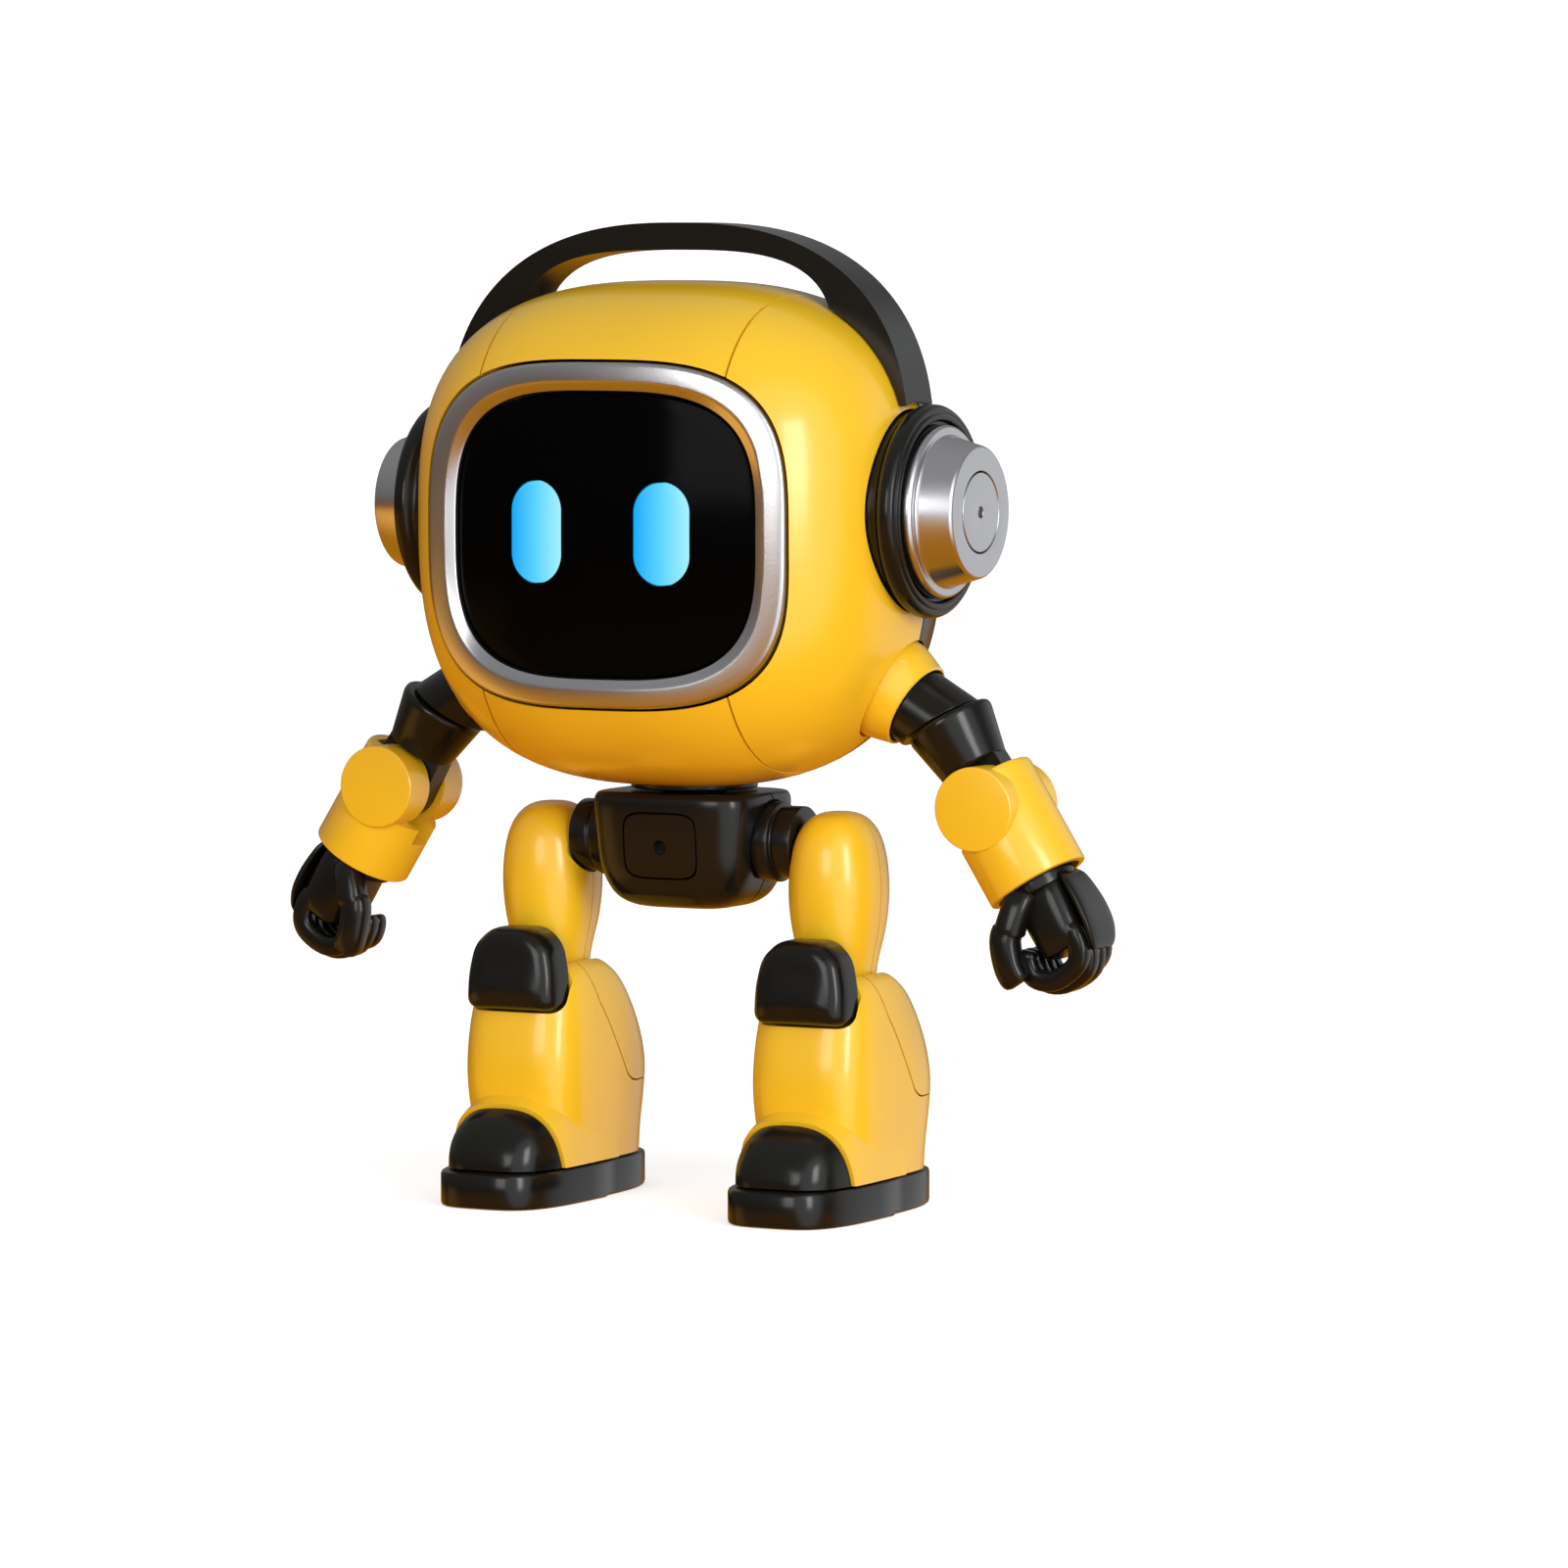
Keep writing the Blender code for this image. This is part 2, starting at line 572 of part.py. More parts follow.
def pelvis_solid(inset=0.0, count=24, step=1):
    """Rounded tub: near-square in plan, shallower behind, tucked in towards its bottom."""
    sections = ((39.5, 5.4, 4.4), (40.1, 7.6, 6.4), (41.6, 9.5, 8.1), (44.8, 10.9, 9.4),
                (49.0, 11.5, 9.9), (53.2, 11.8, 10.1), (54.5, 11.6, 9.9), (55.0, 11.0, 9.3))
    middle = (PELVIS_BOTTOM + PELVIS_TOP) / 2
    squeeze = 1 - 2 * inset / (PELVIS_TOP - PELVIS_BOTTOM)
    rings = []
    for z, half_x, half_y in sections[::step]:
        outline = superellipse(half_x - inset, half_y - inset, 4.5, count)
        rings.append([(x, y * (0.86 if y > 0 else 1.0), middle + (z - middle) * squeeze)
                      for x, y in outline])
    return loft(rings)


def button_prism(grow, low_y, high_y):
    outline = superellipse(BUTTON_HALF[0] + grow, BUTTON_HALF[1] + grow, 5.0, 20)
    return loft([[(x, y, BUTTON_Z + z) for x, z in outline] for y in (low_y, high_y)])


def build_pelvis(black):
    for name, low_y, high_y in (("pelvis_front_shell", -FAR, -GAP / 2),
                                ("pelvis_back_shell", GAP / 2, FAR)):
        shell = make_object(name, pelvis_solid(), black)
        cut(shell, pelvis_solid(1.6, 16, 2))
        keep(shell, block((-FAR, low_y, 0), (FAR, high_y, FAR + 20)))
        cut(shell, rod(4.2 + GAP, 50.0, 60.0, (0, 0, 0), (0, 0, 1), 20))
        cut(shell, rod(1.95, -20, 20, (0, 0, HIP_Z), (1, 0, 0), 12))
        for side in (-1, 1):
            cut(shell, rod(5.6, side * 10.6, side * 20, (0, 0, HIP_Z), (1, 0, 0), 20))
        if low_y < -1:
            cut(shell, button_prism(GAP, -20.0, -5.0))
        finish(shell)
    button = make_object("mode_button", pelvis_solid(), black, (0, -9.8, BUTTON_Z))
    keep(button, button_prism(0, -20.0, -7.9))
    finish(cut(button, rod(0.95, -20.0, -8.6, (0, 0, BUTTON_Z - 0.2), (0, 1, 0), 16)))


def gear_rings(direction):
    """Toothed rings of a 45 degree bevel gear, small end first, apex at the hip centre."""
    direction = Vector(direction)
    up = Vector((0, 0, 1))
    side = direction.cross(up)
    rings = []
    pitch = 2 * math.pi / GEAR_TEETH
    half_root, half_tip = math.radians(8.5), math.radians(5.5)
    slope = math.sqrt(0.5)
    for scale in (1.6, GEAR_PITCH_R):
        ring = []
        size = scale / GEAR_PITCH_R
        for tooth in range(GEAR_TEETH):
            for offset, height in ((-half_root, -TOOTH_ROOT), (-half_tip, TOOTH_TIP),
                                   (half_tip, TOOTH_TIP), (half_root, -TOOTH_ROOT)):
                angle = pitch * tooth + offset
                radius = scale + height * size * slope
                along = scale - height * size * slope
                spoke = side * math.cos(angle) + up * math.sin(angle)
                ring.append(Vector((0, 0, HIP_Z)) + direction * along + spoke * radius)
        rings.append(ring)
    return rings


def build_geared_shaft(name, material, direction, profile, phase=0.0):
    """Bevel gear, turned by a phase, with a shaft of (radius, distance) steps behind it."""
    centre = Vector((0, 0, HIP_Z))
    direction = Vector(direction)
    turn = Matrix.Rotation(phase, 3, direction)
    rings = [[centre + turn @ (point - centre) for point in ring]
             for ring in gear_rings(direction)]
    gear = loft([[centre + direction * 1.9]] + rings + [[centre + direction * 3.0]])
    gear = make_object(name, gear, material, centre)
    return join(gear, revolve(profile, centre, direction, 16))


def build_drive(steel, black, brass):
    hip = [(0, 2.4), (1.6, 2.4), (1.6, 10.9), (5.3, 10.9), (5.3, 13.3), (4.8, 13.9),
           (4.8, 16.5), (2.4, 16.5), (2.4, 19.0), (0, 19.0)]
    both_sides("hip_shaft", build_geared_shaft, black, (1, 0, 0), hip)
    hub = [(0, 2.2), (1.2, 2.2), (1.2, 3.4), (0, 3.4)]
    half_pitch = math.pi / GEAR_TEETH
    finish(build_geared_shaft("drive_pinion", brass, (0, 1, 0), hub, half_pitch))
    motor = [(0, 3.7), (3.1, 3.7), (3.1, 5.8), (0, 5.8)]
    finish(make_object("gear_motor", revolve(motor, (0, 0, HIP_Z), (0, 1, 0), 16), steel))


def build_neck(black):
    """Turntable boss: hangs from the head and turns in the pelvis's top opening."""
    profile = [(2.5, 52.0), (5.3, 52.0), (5.3, 52.7), (4.2, 52.8), (4.2, NECK_Z), (NECK_R, NECK_Z),
               (NECK_R, 61.5), (2.5, 61.5)]
    boss = revolve(profile, (0, 0, 0), (0, 0, 1), 20, closed=True)
    finish(make_object("neck_turntable", boss, black))


# ---------------------------------------------------------------- leg pieces

def thigh_solid(inset=0.0, low=0.0, high=100.0, count=16):
    """Egg-shaped thigh that narrows to a barrel round the knee pin."""
    sections = ((24.0, 3.8, 1.2), (24.8, 4.3, 2.8), (26.5, 4.6, 4.1), (29.0, 4.7, 4.6),
                (32.5, 4.8, 5.2), (37.5, 5.8, 6.5), (42.0, 6.2, 7.0), (46.5, 5.9, 6.8),
                (49.8, 5.0, 5.9), (51.8, 3.6, 4.3), (52.8, 1.2, 1.5))
    rings = []
    for z, half_x, half_y in sections:
        if low <= z <= high:
            outline = superellipse(half_x - inset, half_y - inset, 2.3, count)
            rings.append([(LEG_X + x, y, z) for x, y in outline])
    return loft(rings)


def build_thigh_half(name, material, low_y, high_y):
    half = make_object(name, thigh_solid(), material, (LEG_X, 0, HIP_Z))
    cut(half, thigh_solid(1.9, 37.0, 50.0, 12))
    keep(half, block((0, low_y, 0), (FAR, high_y, FAR + 20)))
    cut(half, rod(5.1, 10.0, 16.8, (0, 0, HIP_Z), (1, 0, 0), 20))
    cut(half, rod(2.4 + GAP, 10.0, 19.3, (0, 0, HIP_Z), (1, 0, 0), 12))
    return cut(half, rod(PIN_R + GAP, 10.0, 34.0, (0, 0, KNEE_Z), (1, 0, 0), 12))


def shin_solid(inset=0.0, high=100.0, count=20):
    """Boot column: flat in front, with a full calf behind."""
    sections = ((BOOT_BOTTOM, 7.9, 8.6, 14.2), (9.0, 8.3, 10.6, 14.0), (13.0, 8.7, 11.7, 14.3),
                (17.0, 8.8, 12.3, 14.6), (21.0, 8.7, 12.1, 13.4), (25.0, 8.4, 11.3, 11.0),
                (28.5, 7.8, 10.3, 8.2), (30.6, 7.0, 9.3, 5.4), (31.8, 5.2, 7.2, 2.2))
    rings = []
    for z, half_x, front, back in sections:
        if z > high:
            continue
        ring = []
        for x, y in superellipse(half_x - inset, 1.0, 3.8, count):
            reach = front if y < 0 else back
            ring.append((LEG_X + x, y * (reach - inset), z))
        rings.append(ring)
    return loft(rings)


def foot_solid(inset=0.0):
    """Shoe upper: an arch that swells from the toe and runs under the shin."""
    sections = ((-19.4, 3.4, 1.6), (-19.0, 4.8, 3.2), (-18.0, 6.2, 5.2), (-16.4, 7.3, 7.0),
                (-14.2, 7.9, 8.3), (-11.6, 8.3, 9.4), (-8.0, 8.5, 9.9), (3.0, 8.4, 8.6))
    rings = []
    count = 8
    for y, half_x, height in sections:
        width, rise = max(half_x - inset, 0.6), max(height - inset, 0.6)
        ring = []
        for i in range(count + 1):
            angle = math.pi * i / count
            cos, sin = math.cos(angle), max(math.sin(angle), 0.0)
            x = width * math.copysign(abs(cos) ** (2 / 2.6), cos)
            ring.append((LEG_X + x, y + (inset if y < 0 else -inset) * 0.8,
                         BOOT_BOTTOM + rise * sin ** (2 / 2.6)))
        rings.append(ring)
    return loft(rings)


def toe_plane(shift):
    """Slanted plane between the toe cap and the shoe upper."""
    normal = Vector((0, -7.9, -2.5)).normalized()
    return Vector((LEG_X, -11.6, BOOT_BOTTOM)) + normal * shift, normal


def pad_solid(grow=0.0):
    """Knee shield: a rounded wedge, wide at its lower end."""
    half = [(1.4, 36.5), (3.2, 36.0), (4.6, 34.6), (5.6, 32.0), (6.5, 28.2), (6.3, 26.9),
            (5.3, 25.9), (3.8, 25.6)]
    outline = half + [(-x, z) for x, z in reversed(half)]
    middle = 31.0
    rings = []
    for y, size in ((-12.6, 0.86), (-12.2, 0.95), (-11.6, 1.0), (-7.3, 1.0)):
        stretch_x = size + grow / 6.3
        stretch_z = size + grow / 5.4
        step = -grow if y < -10 else grow
        rings.append([(LEG_X + x * stretch_x, y + step + (z - middle) * 0.06,
                       middle + (z - middle) * stretch_z) for x, z in outline])
    return loft(rings)


def calf_region(shift):
    """Space behind the side seam, which runs down the shin and hooks round the calf."""
    line = [(-7.4, 34.0), (-0.9, 24.9), (3.3, 18.3), (4.9, 15.9), (6.7, 15.0), (FAR, 14.8),
            (FAR, 34.0)]
    rings = []
    for x in (0, FAR):
        rings.append([(x, y + (shift if y < FAR else 0), z + (shift if z < 33 else 5))
                      for y, z in line])
    return loft(rings)


def hollow_boot(name, material):
    boot = make_object(name, shin_solid(), material, (LEG_X, 0, KNEE_Z))
    join(boot, foot_solid())
    cavity = shin_solid(2.0, 21.0, 12)
    bmesh.ops.translate(cavity, vec=(0, 0, -0.6), verts=cavity.verts)
    cut(boot, cavity)
    cut(boot, rod(POCKET_R, LEG_X - POCKET_HALF, LEG_X + POCKET_HALF, (0, 0, KNEE_Z), (1, 0, 0), 20))
    cut(boot, block((LEG_X - 5.5, -6.2, KNEE_Z), (LEG_X + 5.5, 8.6, FAR)))
    cut(boot, rod(PIN_R + GAP, LEG_X - 7.1, LEG_X + 7.1, (0, 0, KNEE_Z), (1, 0, 0), 12))
    return cut(boot, pad_solid(GAP))


def build_boot(name, material):
    boot = cut(hollow_boot(name, material), calf_region(-GAP / 2))
    point, normal = toe_plane(-GAP / 2)
    front = block((0, -FAR, 0), (FAR, -8.0, FAR))
    return cut(boot, slice_off(front, point, -normal))


def build_calf(name, material):
    return keep(hollow_boot(name, material), calf_region(GAP / 2))


def build_toe_cap(name, material):
    point, normal = toe_plane(GAP / 2)
    cap = slice_off(foot_solid(0.9), point, -normal)
    return make_object(name, cap, material, (LEG_X, 0, KNEE_Z))


def build_knee_pad(name, material):
    return make_object(name, pad_solid(), material, (LEG_X, 0, KNEE_Z))


def build_knee_pin(name, material):
    pin = rod(PIN_R, LEG_X - 6.8, LEG_X + 6.8, (0, 0, KNEE_Z), (1, 0, 0), 12)
    return make_object(name, pin, material, (LEG_X, 0, KNEE_Z))


def build_sole(name, material):
    """Flat sole: broad under the toes, stepping in to a narrower heel."""
    outline = []
    steps = 12
    for i in range(steps + 1):
        angle = math.pi * i / steps
        cos, sin = math.cos(angle), math.sin(angle)
        outline.append((8.8 * math.copysign(abs(cos) ** (2 / 3.6), cos), -20.0 * sin ** (2 / 3.6)))
    for i in range(1, steps + 1):
        angle = math.pi * (i - 0.5) / steps
        cos, sin = math.cos(angle), math.sin(angle)
        outline.append((-8.1 * math.copysign(abs(cos) ** (2 / 3.0), cos), 18.6 * sin ** (2 / 3.0)))
    rings = []
    for z, size in ((0.0, 0.97), (0.4, 1.0), (SOLE_TOP, 1.0)):
        rings.append([(LEG_X + x * size, y * size - 1.0, z) for x, y in outline])
    return make_object(name, loft(rings), material, (LEG_X, 0, KNEE_Z))


# ---------------------------------------------------------------- assembly

def main():
    clear_scene()
    yellow = make_material("yellow_gloss", (0.93, 0.52, 0.03), 0.22)
    black = make_material("black_gloss", (0.012, 0.012, 0.011), 0.2)
    silver = make_material("satin_silver", (0.55, 0.55, 0.57), 0.32, 0.9)
    glass = make_material("screen_glass", (0.004, 0.004, 0.005), 0.08)
    glow = make_material("eye_glow", (0.08, 0.6, 1.0), 0.3)
    board = make_material("circuit_board", (0.02, 0.16, 0.06), 0.5)
    dark = make_material("speaker_black", (0.03, 0.03, 0.03), 0.6)
    cell = make_material("battery_sleeve", (0.35, 0.05, 0.03), 0.35)
    steel = make_material("steel", (0.6, 0.6, 0.6), 0.3, 1.0)
    brass = make_material("brass", (0.75, 0.55, 0.25), 0.35, 1.0)

    build_head_shells(yellow, black)
    build_battery_door(black, steel)
    build_face(silver, glass, glow)
    build_head_inside(board, dark, cell)
    build_headphones(black, silver)
    both_sides("shoulder_collar", build_collar, yellow)
    both_sides("shoulder_joint", build_shoulder, black)
    both_sides("upper_arm", build_upper_arm, black)
    both_sides("elbow_pin", build_elbow_pin, steel)
    both_sides("forearm_sleeve", build_forearm, yellow)
    both_sides("hand", build_hand, black)
    both_sides("hand_back_plate", build_back_plate, black)
    build_neck(black)
    build_pelvis(black)
    build_drive(steel, black, brass)
    both_sides("thigh_front_shell", build_thigh_half, yellow, -FAR, -GAP / 2)
    both_sides("thigh_back_shell", build_thigh_half, yellow, GAP / 2, FAR)
    both_sides("knee_pin", build_knee_pin, steel)
    both_sides("boot_shell", build_boot, yellow)
    both_sides("calf_panel", build_calf, yellow)
    both_sides("knee_pad", build_knee_pad, black)
    both_sides("toe_cap", build_toe_cap, black)
    both_sides("sole", build_sole, black)


main()
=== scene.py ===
"""Looks for the walking toy robot: fine moulded surfaces, materials, light and camera.

Lengths are millimetres in the CAD frame (robot faces -Y, soles on Z = 0); MM turns them into
metres when a piece is made. Every fine piece stands for the CAD node of the same name.
"""
import json
import math

import bmesh
import bpy
from mathutils import Matrix, Vector


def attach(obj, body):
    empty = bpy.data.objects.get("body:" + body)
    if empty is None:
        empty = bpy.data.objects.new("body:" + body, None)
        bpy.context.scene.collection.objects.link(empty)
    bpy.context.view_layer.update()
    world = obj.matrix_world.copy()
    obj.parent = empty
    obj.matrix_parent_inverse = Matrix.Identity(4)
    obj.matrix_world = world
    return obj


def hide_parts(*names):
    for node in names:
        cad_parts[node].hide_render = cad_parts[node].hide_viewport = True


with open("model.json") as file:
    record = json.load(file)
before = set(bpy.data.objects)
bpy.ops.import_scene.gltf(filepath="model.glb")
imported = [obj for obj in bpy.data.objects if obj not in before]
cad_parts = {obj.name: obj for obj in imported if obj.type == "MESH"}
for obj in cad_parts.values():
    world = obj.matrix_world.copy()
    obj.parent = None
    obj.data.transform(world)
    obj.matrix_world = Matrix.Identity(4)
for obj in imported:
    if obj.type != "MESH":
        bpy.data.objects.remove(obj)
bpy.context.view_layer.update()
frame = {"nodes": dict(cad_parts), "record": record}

MM = 0.001
GAP = 0.3
WALL = 2.0
FAR = 60.0

HEAD_Y, HEAD_Z = -3.5, 91.6
HEAD_HALF_WIDTH = 34.5
HEAD_FRONT, HEAD_BACK = 27.5, 30.67
HEAD_TOP, HEAD_BOTTOM = 30.65, 35.8
SIDE_POWER, FRONT_POWER, BACK_POWER = 2.78, 2.53, 2.2
CHEEK_SEAM_X = 18.0
BACK_SEAM_Y = 0.7
HEAD_GRID = 36

FACE_Z = 89.5
BEZEL_HALF = (26.27, 22.36)
BEZEL_RATIO = 0.9              # the bezel is a little narrower above and below than at its sides
GLASS_HALF = (21.8, 18.25)
FACE_POWER = 3.26
BEZEL_FRONT_Y, BEZEL_BACK_Y = -27.9, -19.5
GLASS_FRONT_Y, GLASS_THICK = -26.9, 1.8
EYE_X, EYE_Z, EYE_WIDTH, EYE_HEIGHT = 9.2, 89.8, 7.7, 13.2

EAR_Y, EAR_Z = -1.8, 92.4
PAD_R, PAD_SPIGOT_R = 13.9, 13.0
POD_FACE_X = 43.0
CAP_R = 5.15
BAND_HALF_DEPTH = 3.8
BAND_CENTRE_Z = 100.0
BAND_HALF_WIDTH, BAND_RISE, BAND_POWER = 34.4, 29.8, 2.45
WINDOW_Z, WINDOW_HALF_WIDTH, WINDOW_RISE, WINDOW_POWER = 112.0, 23.5, 14.2, 3.2

ARM_Y = -0.4
RIM = Vector((33.05, ARM_Y, 66.97))
COLLAR_DIR = Vector((0.86, 0.0, -0.51)).normalized()
ELBOW = Vector((44.6, ARM_Y, 54.3))
ARM_DIR = Vector((0.532, 0.0, -0.847)).normalized()
ARM_OUT = Vector((-ARM_DIR.z, 0.0, ARM_DIR.x))
PLUG_R, RIM_R, COLLAR_R = 5.2, 5.97, 7.0
SEAM_A = -12.9
CONE_END_A = -5.8
DISC_R, DISC_Y, CHEEK_IN_Y = 5.5, 7.1, 2.05
TONGUE_HALF, TONGUE_R = 1.75, 4.6
CUFF_R, CUFF_END_A = 6.85, 11.6
PIN_R = 1.2

PELVIS_BOTTOM, PELVIS_TOP = 39.5, 55.0
NECK_R, NECK_Z = 8.4, 55.3
HIP_Z = 48.5
BUTTON_HALF = (5.25, 4.2)
BUTTON_Z = 48.1

LEG_X = 21.5
KNEE_Z = 28.5
POCKET_HALF, POCKET_R = 5.2, 6.2
SOLE_TOP = 4.75
BOOT_BOTTOM = 5.05
PAD_MIDDLE_Z = 31.0

DOOR_HALF, DOOR_Z, DOOR_DEPTH_Y = (20.0, 13.0), 92.0, 18.0
SCREW_Z = 82.5

STUDIO_TURN = 27.54            # degrees: the sweep stands square to the camera's heading
AIM = (0, 0, 0.07)

behaviour = frame["record"]["behaviour"]
BODY_OF = {node: body for body, nodes in behaviour["bodies"].items() for node in nodes}
SLOT_OF = {row["node"]: row["material_slot"] for row in frame["record"]["subparts"]}


# ---------------------------------------------------------------- materials

def node_material(name, colour, roughness, metallic=0.0, coat=0.0, grain=0.0, tint=0.03,
                  specular=0.5):
    """Moulded surface: slight colour and gloss drift, and a fine grain in relief."""
    mat = bpy.data.materials.new(name)
    mat.use_nodes = True
    nodes, links = mat.node_tree.nodes, mat.node_tree.links
    shader = nodes["Principled BSDF"]
    shader.inputs["Metallic"].default_value = metallic
    shader.inputs["Coat Weight"].default_value = coat
    shader.inputs["Coat Roughness"].default_value = 0.06
    shader.inputs["Specular IOR Level"].default_value = specular
    place = nodes.new("ShaderNodeTexCoord")
    drift = nodes.new("ShaderNodeTexNoise")
    drift.inputs["Scale"].default_value = 45.0
    drift.inputs["Detail"].default_value = 3.0
    links.new(place.outputs["Object"], drift.inputs["Vector"])
    ramp = nodes.new("ShaderNodeValToRGB")
    ramp.color_ramp.elements[0].position = 0.3
    ramp.color_ramp.elements[1].position = 0.7
    ramp.color_ramp.elements[0].color = (*[c * (1 - tint) for c in colour], 1)
    ramp.color_ramp.elements[1].color = (*[min(1.0, c * (1 + tint)) for c in colour], 1)
    links.new(drift.outputs["Fac"], ramp.inputs["Fac"])
    links.new(ramp.outputs["Color"], shader.inputs["Base Color"])
    gloss = nodes.new("ShaderNodeMapRange")
    gloss.inputs["To Min"].default_value = roughness * 0.85
    gloss.inputs["To Max"].default_value = roughness * 1.15
    links.new(drift.outputs["Fac"], gloss.inputs["Value"])
    links.new(gloss.outputs["Result"], shader.inputs["Roughness"])
    if grain:
        fine = nodes.new("ShaderNodeTexNoise")
        fine.inputs["Scale"].default_value = 2500.0
        fine.inputs["Detail"].default_value = 2.0
        links.new(place.outputs["Object"], fine.inputs["Vector"])
        bump = nodes.new("ShaderNodeBump")
        bump.inputs["Strength"].default_value = grain
        bump.inputs["Distance"].default_value = 0.00005
        links.new(fine.outputs["Fac"], bump.inputs["Height"])
        links.new(bump.outputs["Normal"], shader.inputs["Normal"])
    mat.diffuse_color = (*colour, 1.0)
    return mat


def painted_highlight_eye_material(name, centre_x):
    """Backlit light guide with a painted highlight: deep blue at its -X edge, brightening to pale
    cyan at its +X edge, the side the key light falls on.
    """
    mat = bpy.data.materials.new(name)
    mat.use_nodes = True
    nodes, links = mat.node_tree.nodes, mat.node_tree.links
    shader = nodes["Principled BSDF"]
    shader.inputs["Roughness"].default_value = 0.25
    place = nodes.new("ShaderNodeTexCoord")
    split = nodes.new("ShaderNodeSeparateXYZ")
    links.new(place.outputs["Object"], split.inputs["Vector"])
    across = nodes.new("ShaderNodeMapRange")
    across.inputs["From Min"].default_value = (centre_x - EYE_WIDTH / 2) * MM
    across.inputs["From Max"].default_value = (centre_x + EYE_WIDTH / 2) * MM
    links.new(split.outputs["X"], across.inputs["Value"])
    # painted highlight: the pale cyan end of this ramp lights the eye's +X edge, toward the key
    # light
    ramp = nodes.new("ShaderNodeValToRGB")
    ramp.color_ramp.elements[0].color = (0.0, 0.37, 0.92, 1)
    ramp.color_ramp.elements[1].color = (0.36, 0.86, 0.98, 1)
    middle = ramp.color_ramp.elements.new(0.5)
    middle.color = (0.10, 0.64, 0.96, 1)
    links.new(across.outputs["Result"], ramp.inputs["Fac"])
    links.new(ramp.outputs["Color"], shader.inputs["Emission Color"])
    shader.inputs["Base Color"].default_value = (0.0, 0.02, 0.05, 1)
    shader.inputs["Specular IOR Level"].default_value = 0.1
    shader.inputs["Emission Strength"].default_value = 1.0
    return mat


MATERIALS = {
    "yellow_gloss": node_material("fine_yellow", (0.90, 0.54, 0.020), 0.25, grain=0.06, coat=0.2),
    "black_gloss": node_material("fine_black", (0.007, 0.007, 0.006), 0.2, grain=0.06, tint=0.15,
                                 specular=0.32),
    "satin_silver": node_material("fine_silver", (0.55, 0.55, 0.57), 0.26, 1.0, grain=0.1),
    "screen_glass": node_material("fine_glass", (0.001, 0.001, 0.001), 0.12, tint=0.2,
                                  specular=0.03),
    "eye_glow": painted_highlight_eye_material("fine_eye_left", EYE_X),
    "circuit_board": node_material("fine_board", (0.02, 0.16, 0.06), 0.5, grain=0.3, tint=0.2),
    "speaker_black": node_material("fine_speaker", (0.03, 0.03, 0.03), 0.6, grain=0.4),
    "battery_sleeve": node_material("fine_cell", (0.35, 0.05, 0.03), 0.35, grain=0.1),
    "steel": node_material("fine_steel", (0.6, 0.6, 0.6), 0.3, 1.0, grain=0.2),
    "brass": node_material("fine_brass", (0.75, 0.55, 0.25), 0.35, 1.0, grain=0.2),
}
EYE_RIGHT_MATERIAL = painted_highlight_eye_material("fine_eye_right", -EYE_X)


# ---------------------------------------------------------------- small tools

def superellipse(half_u, half_v, power, count):
    """Points round an oval that grows squarer as its power grows."""
    points = []
    for i in range(count):
        angle = 2 * math.pi * i / count
        cos, sin = math.cos(angle), math.sin(angle)
        u = half_u * math.copysign(abs(cos) ** (2 / power), cos)
        v = half_v * math.copysign(abs(sin) ** (2 / power), sin)
        points.append((u, v))
    return points


def stadium(half_u, half_v, count):
    """Points round an upright slot with half-round ends."""
    points = []
    for i in range(count):
        angle = 2 * math.pi * (i + 0.5) / count
        lift = math.copysign(half_v - half_u, math.sin(angle))
        points.append((half_u * math.cos(angle), half_u * math.sin(angle) + lift))
    return points


def refine(rows, per=4):
    """Smooth rows of numbers with a Catmull-Rom curve through them."""
    result = []
    last = len(rows) - 1
    for i in range(last):
        before, start = rows[max(i - 1, 0)], rows[i]
        end, after = rows[i + 1], rows[min(i + 2, last)]
        for step in range(per):
            t = step / per
            row = []
            for p0, p1, p2, p3 in zip(before, start, end, after):
                row.append(0.5 * (2 * p1 + (p2 - p0) * t + (2 * p0 - 5 * p1 + 4 * p2 - p3) * t ** 2
                                  + (3 * p1 - p0 - 3 * p2 + p3) * t ** 3))
            result.append(row)
    result.append(list(rows[-1]))
    return result


def loft(rings, closed=False):
    """Skin a list of rings; a ring of one point closes to a tip, and open ends are capped."""
    bm = bmesh.new()
    loops = [[bm.verts.new(point) for point in ring] for ring in rings]
    pairs = list(zip(loops, loops[1:]))
    if closed:
        pairs.append((loops[-1], loops[0]))
    for first, second in pairs:
        count = max(len(first), len(second))
        for i in range(count):
            j = (i + 1) % count
            corners = [first[i % len(first)], first[j % len(first)],
                       second[j % len(second)], second[i % len(second)]]
            bm.faces.new(list(dict.fromkeys(corners)))
    if not closed:
        for end in (loops[0], loops[-1]):
            if len(end) > 1:
                bm.faces.new(end)
    bmesh.ops.recalc_face_normals(bm, faces=bm.faces)
    return bm


def rounded(profile, radius=0.3, steps=3):
    """Round the corners of an open (radius, distance) profile, keeping its two ends."""
    points = [profile[0]]
    for before, corner, after in zip(profile, profile[1:], profile[2:]):
        corner_v = Vector(corner)
        back, on = Vector(before) - corner_v, Vector(after) - corner_v
        reach = min(radius, back.length * 0.45, on.length * 0.45)
        start, end = corner_v + back.normalized() * reach, corner_v + on.normalized() * reach
        for i in range(steps + 1):
            t = i / steps
            point = start * (1 - t) ** 2 + corner_v * (2 * t * (1 - t)) + end * t ** 2
            points.append(tuple(point))
    points.append(profile[-1])
    return points


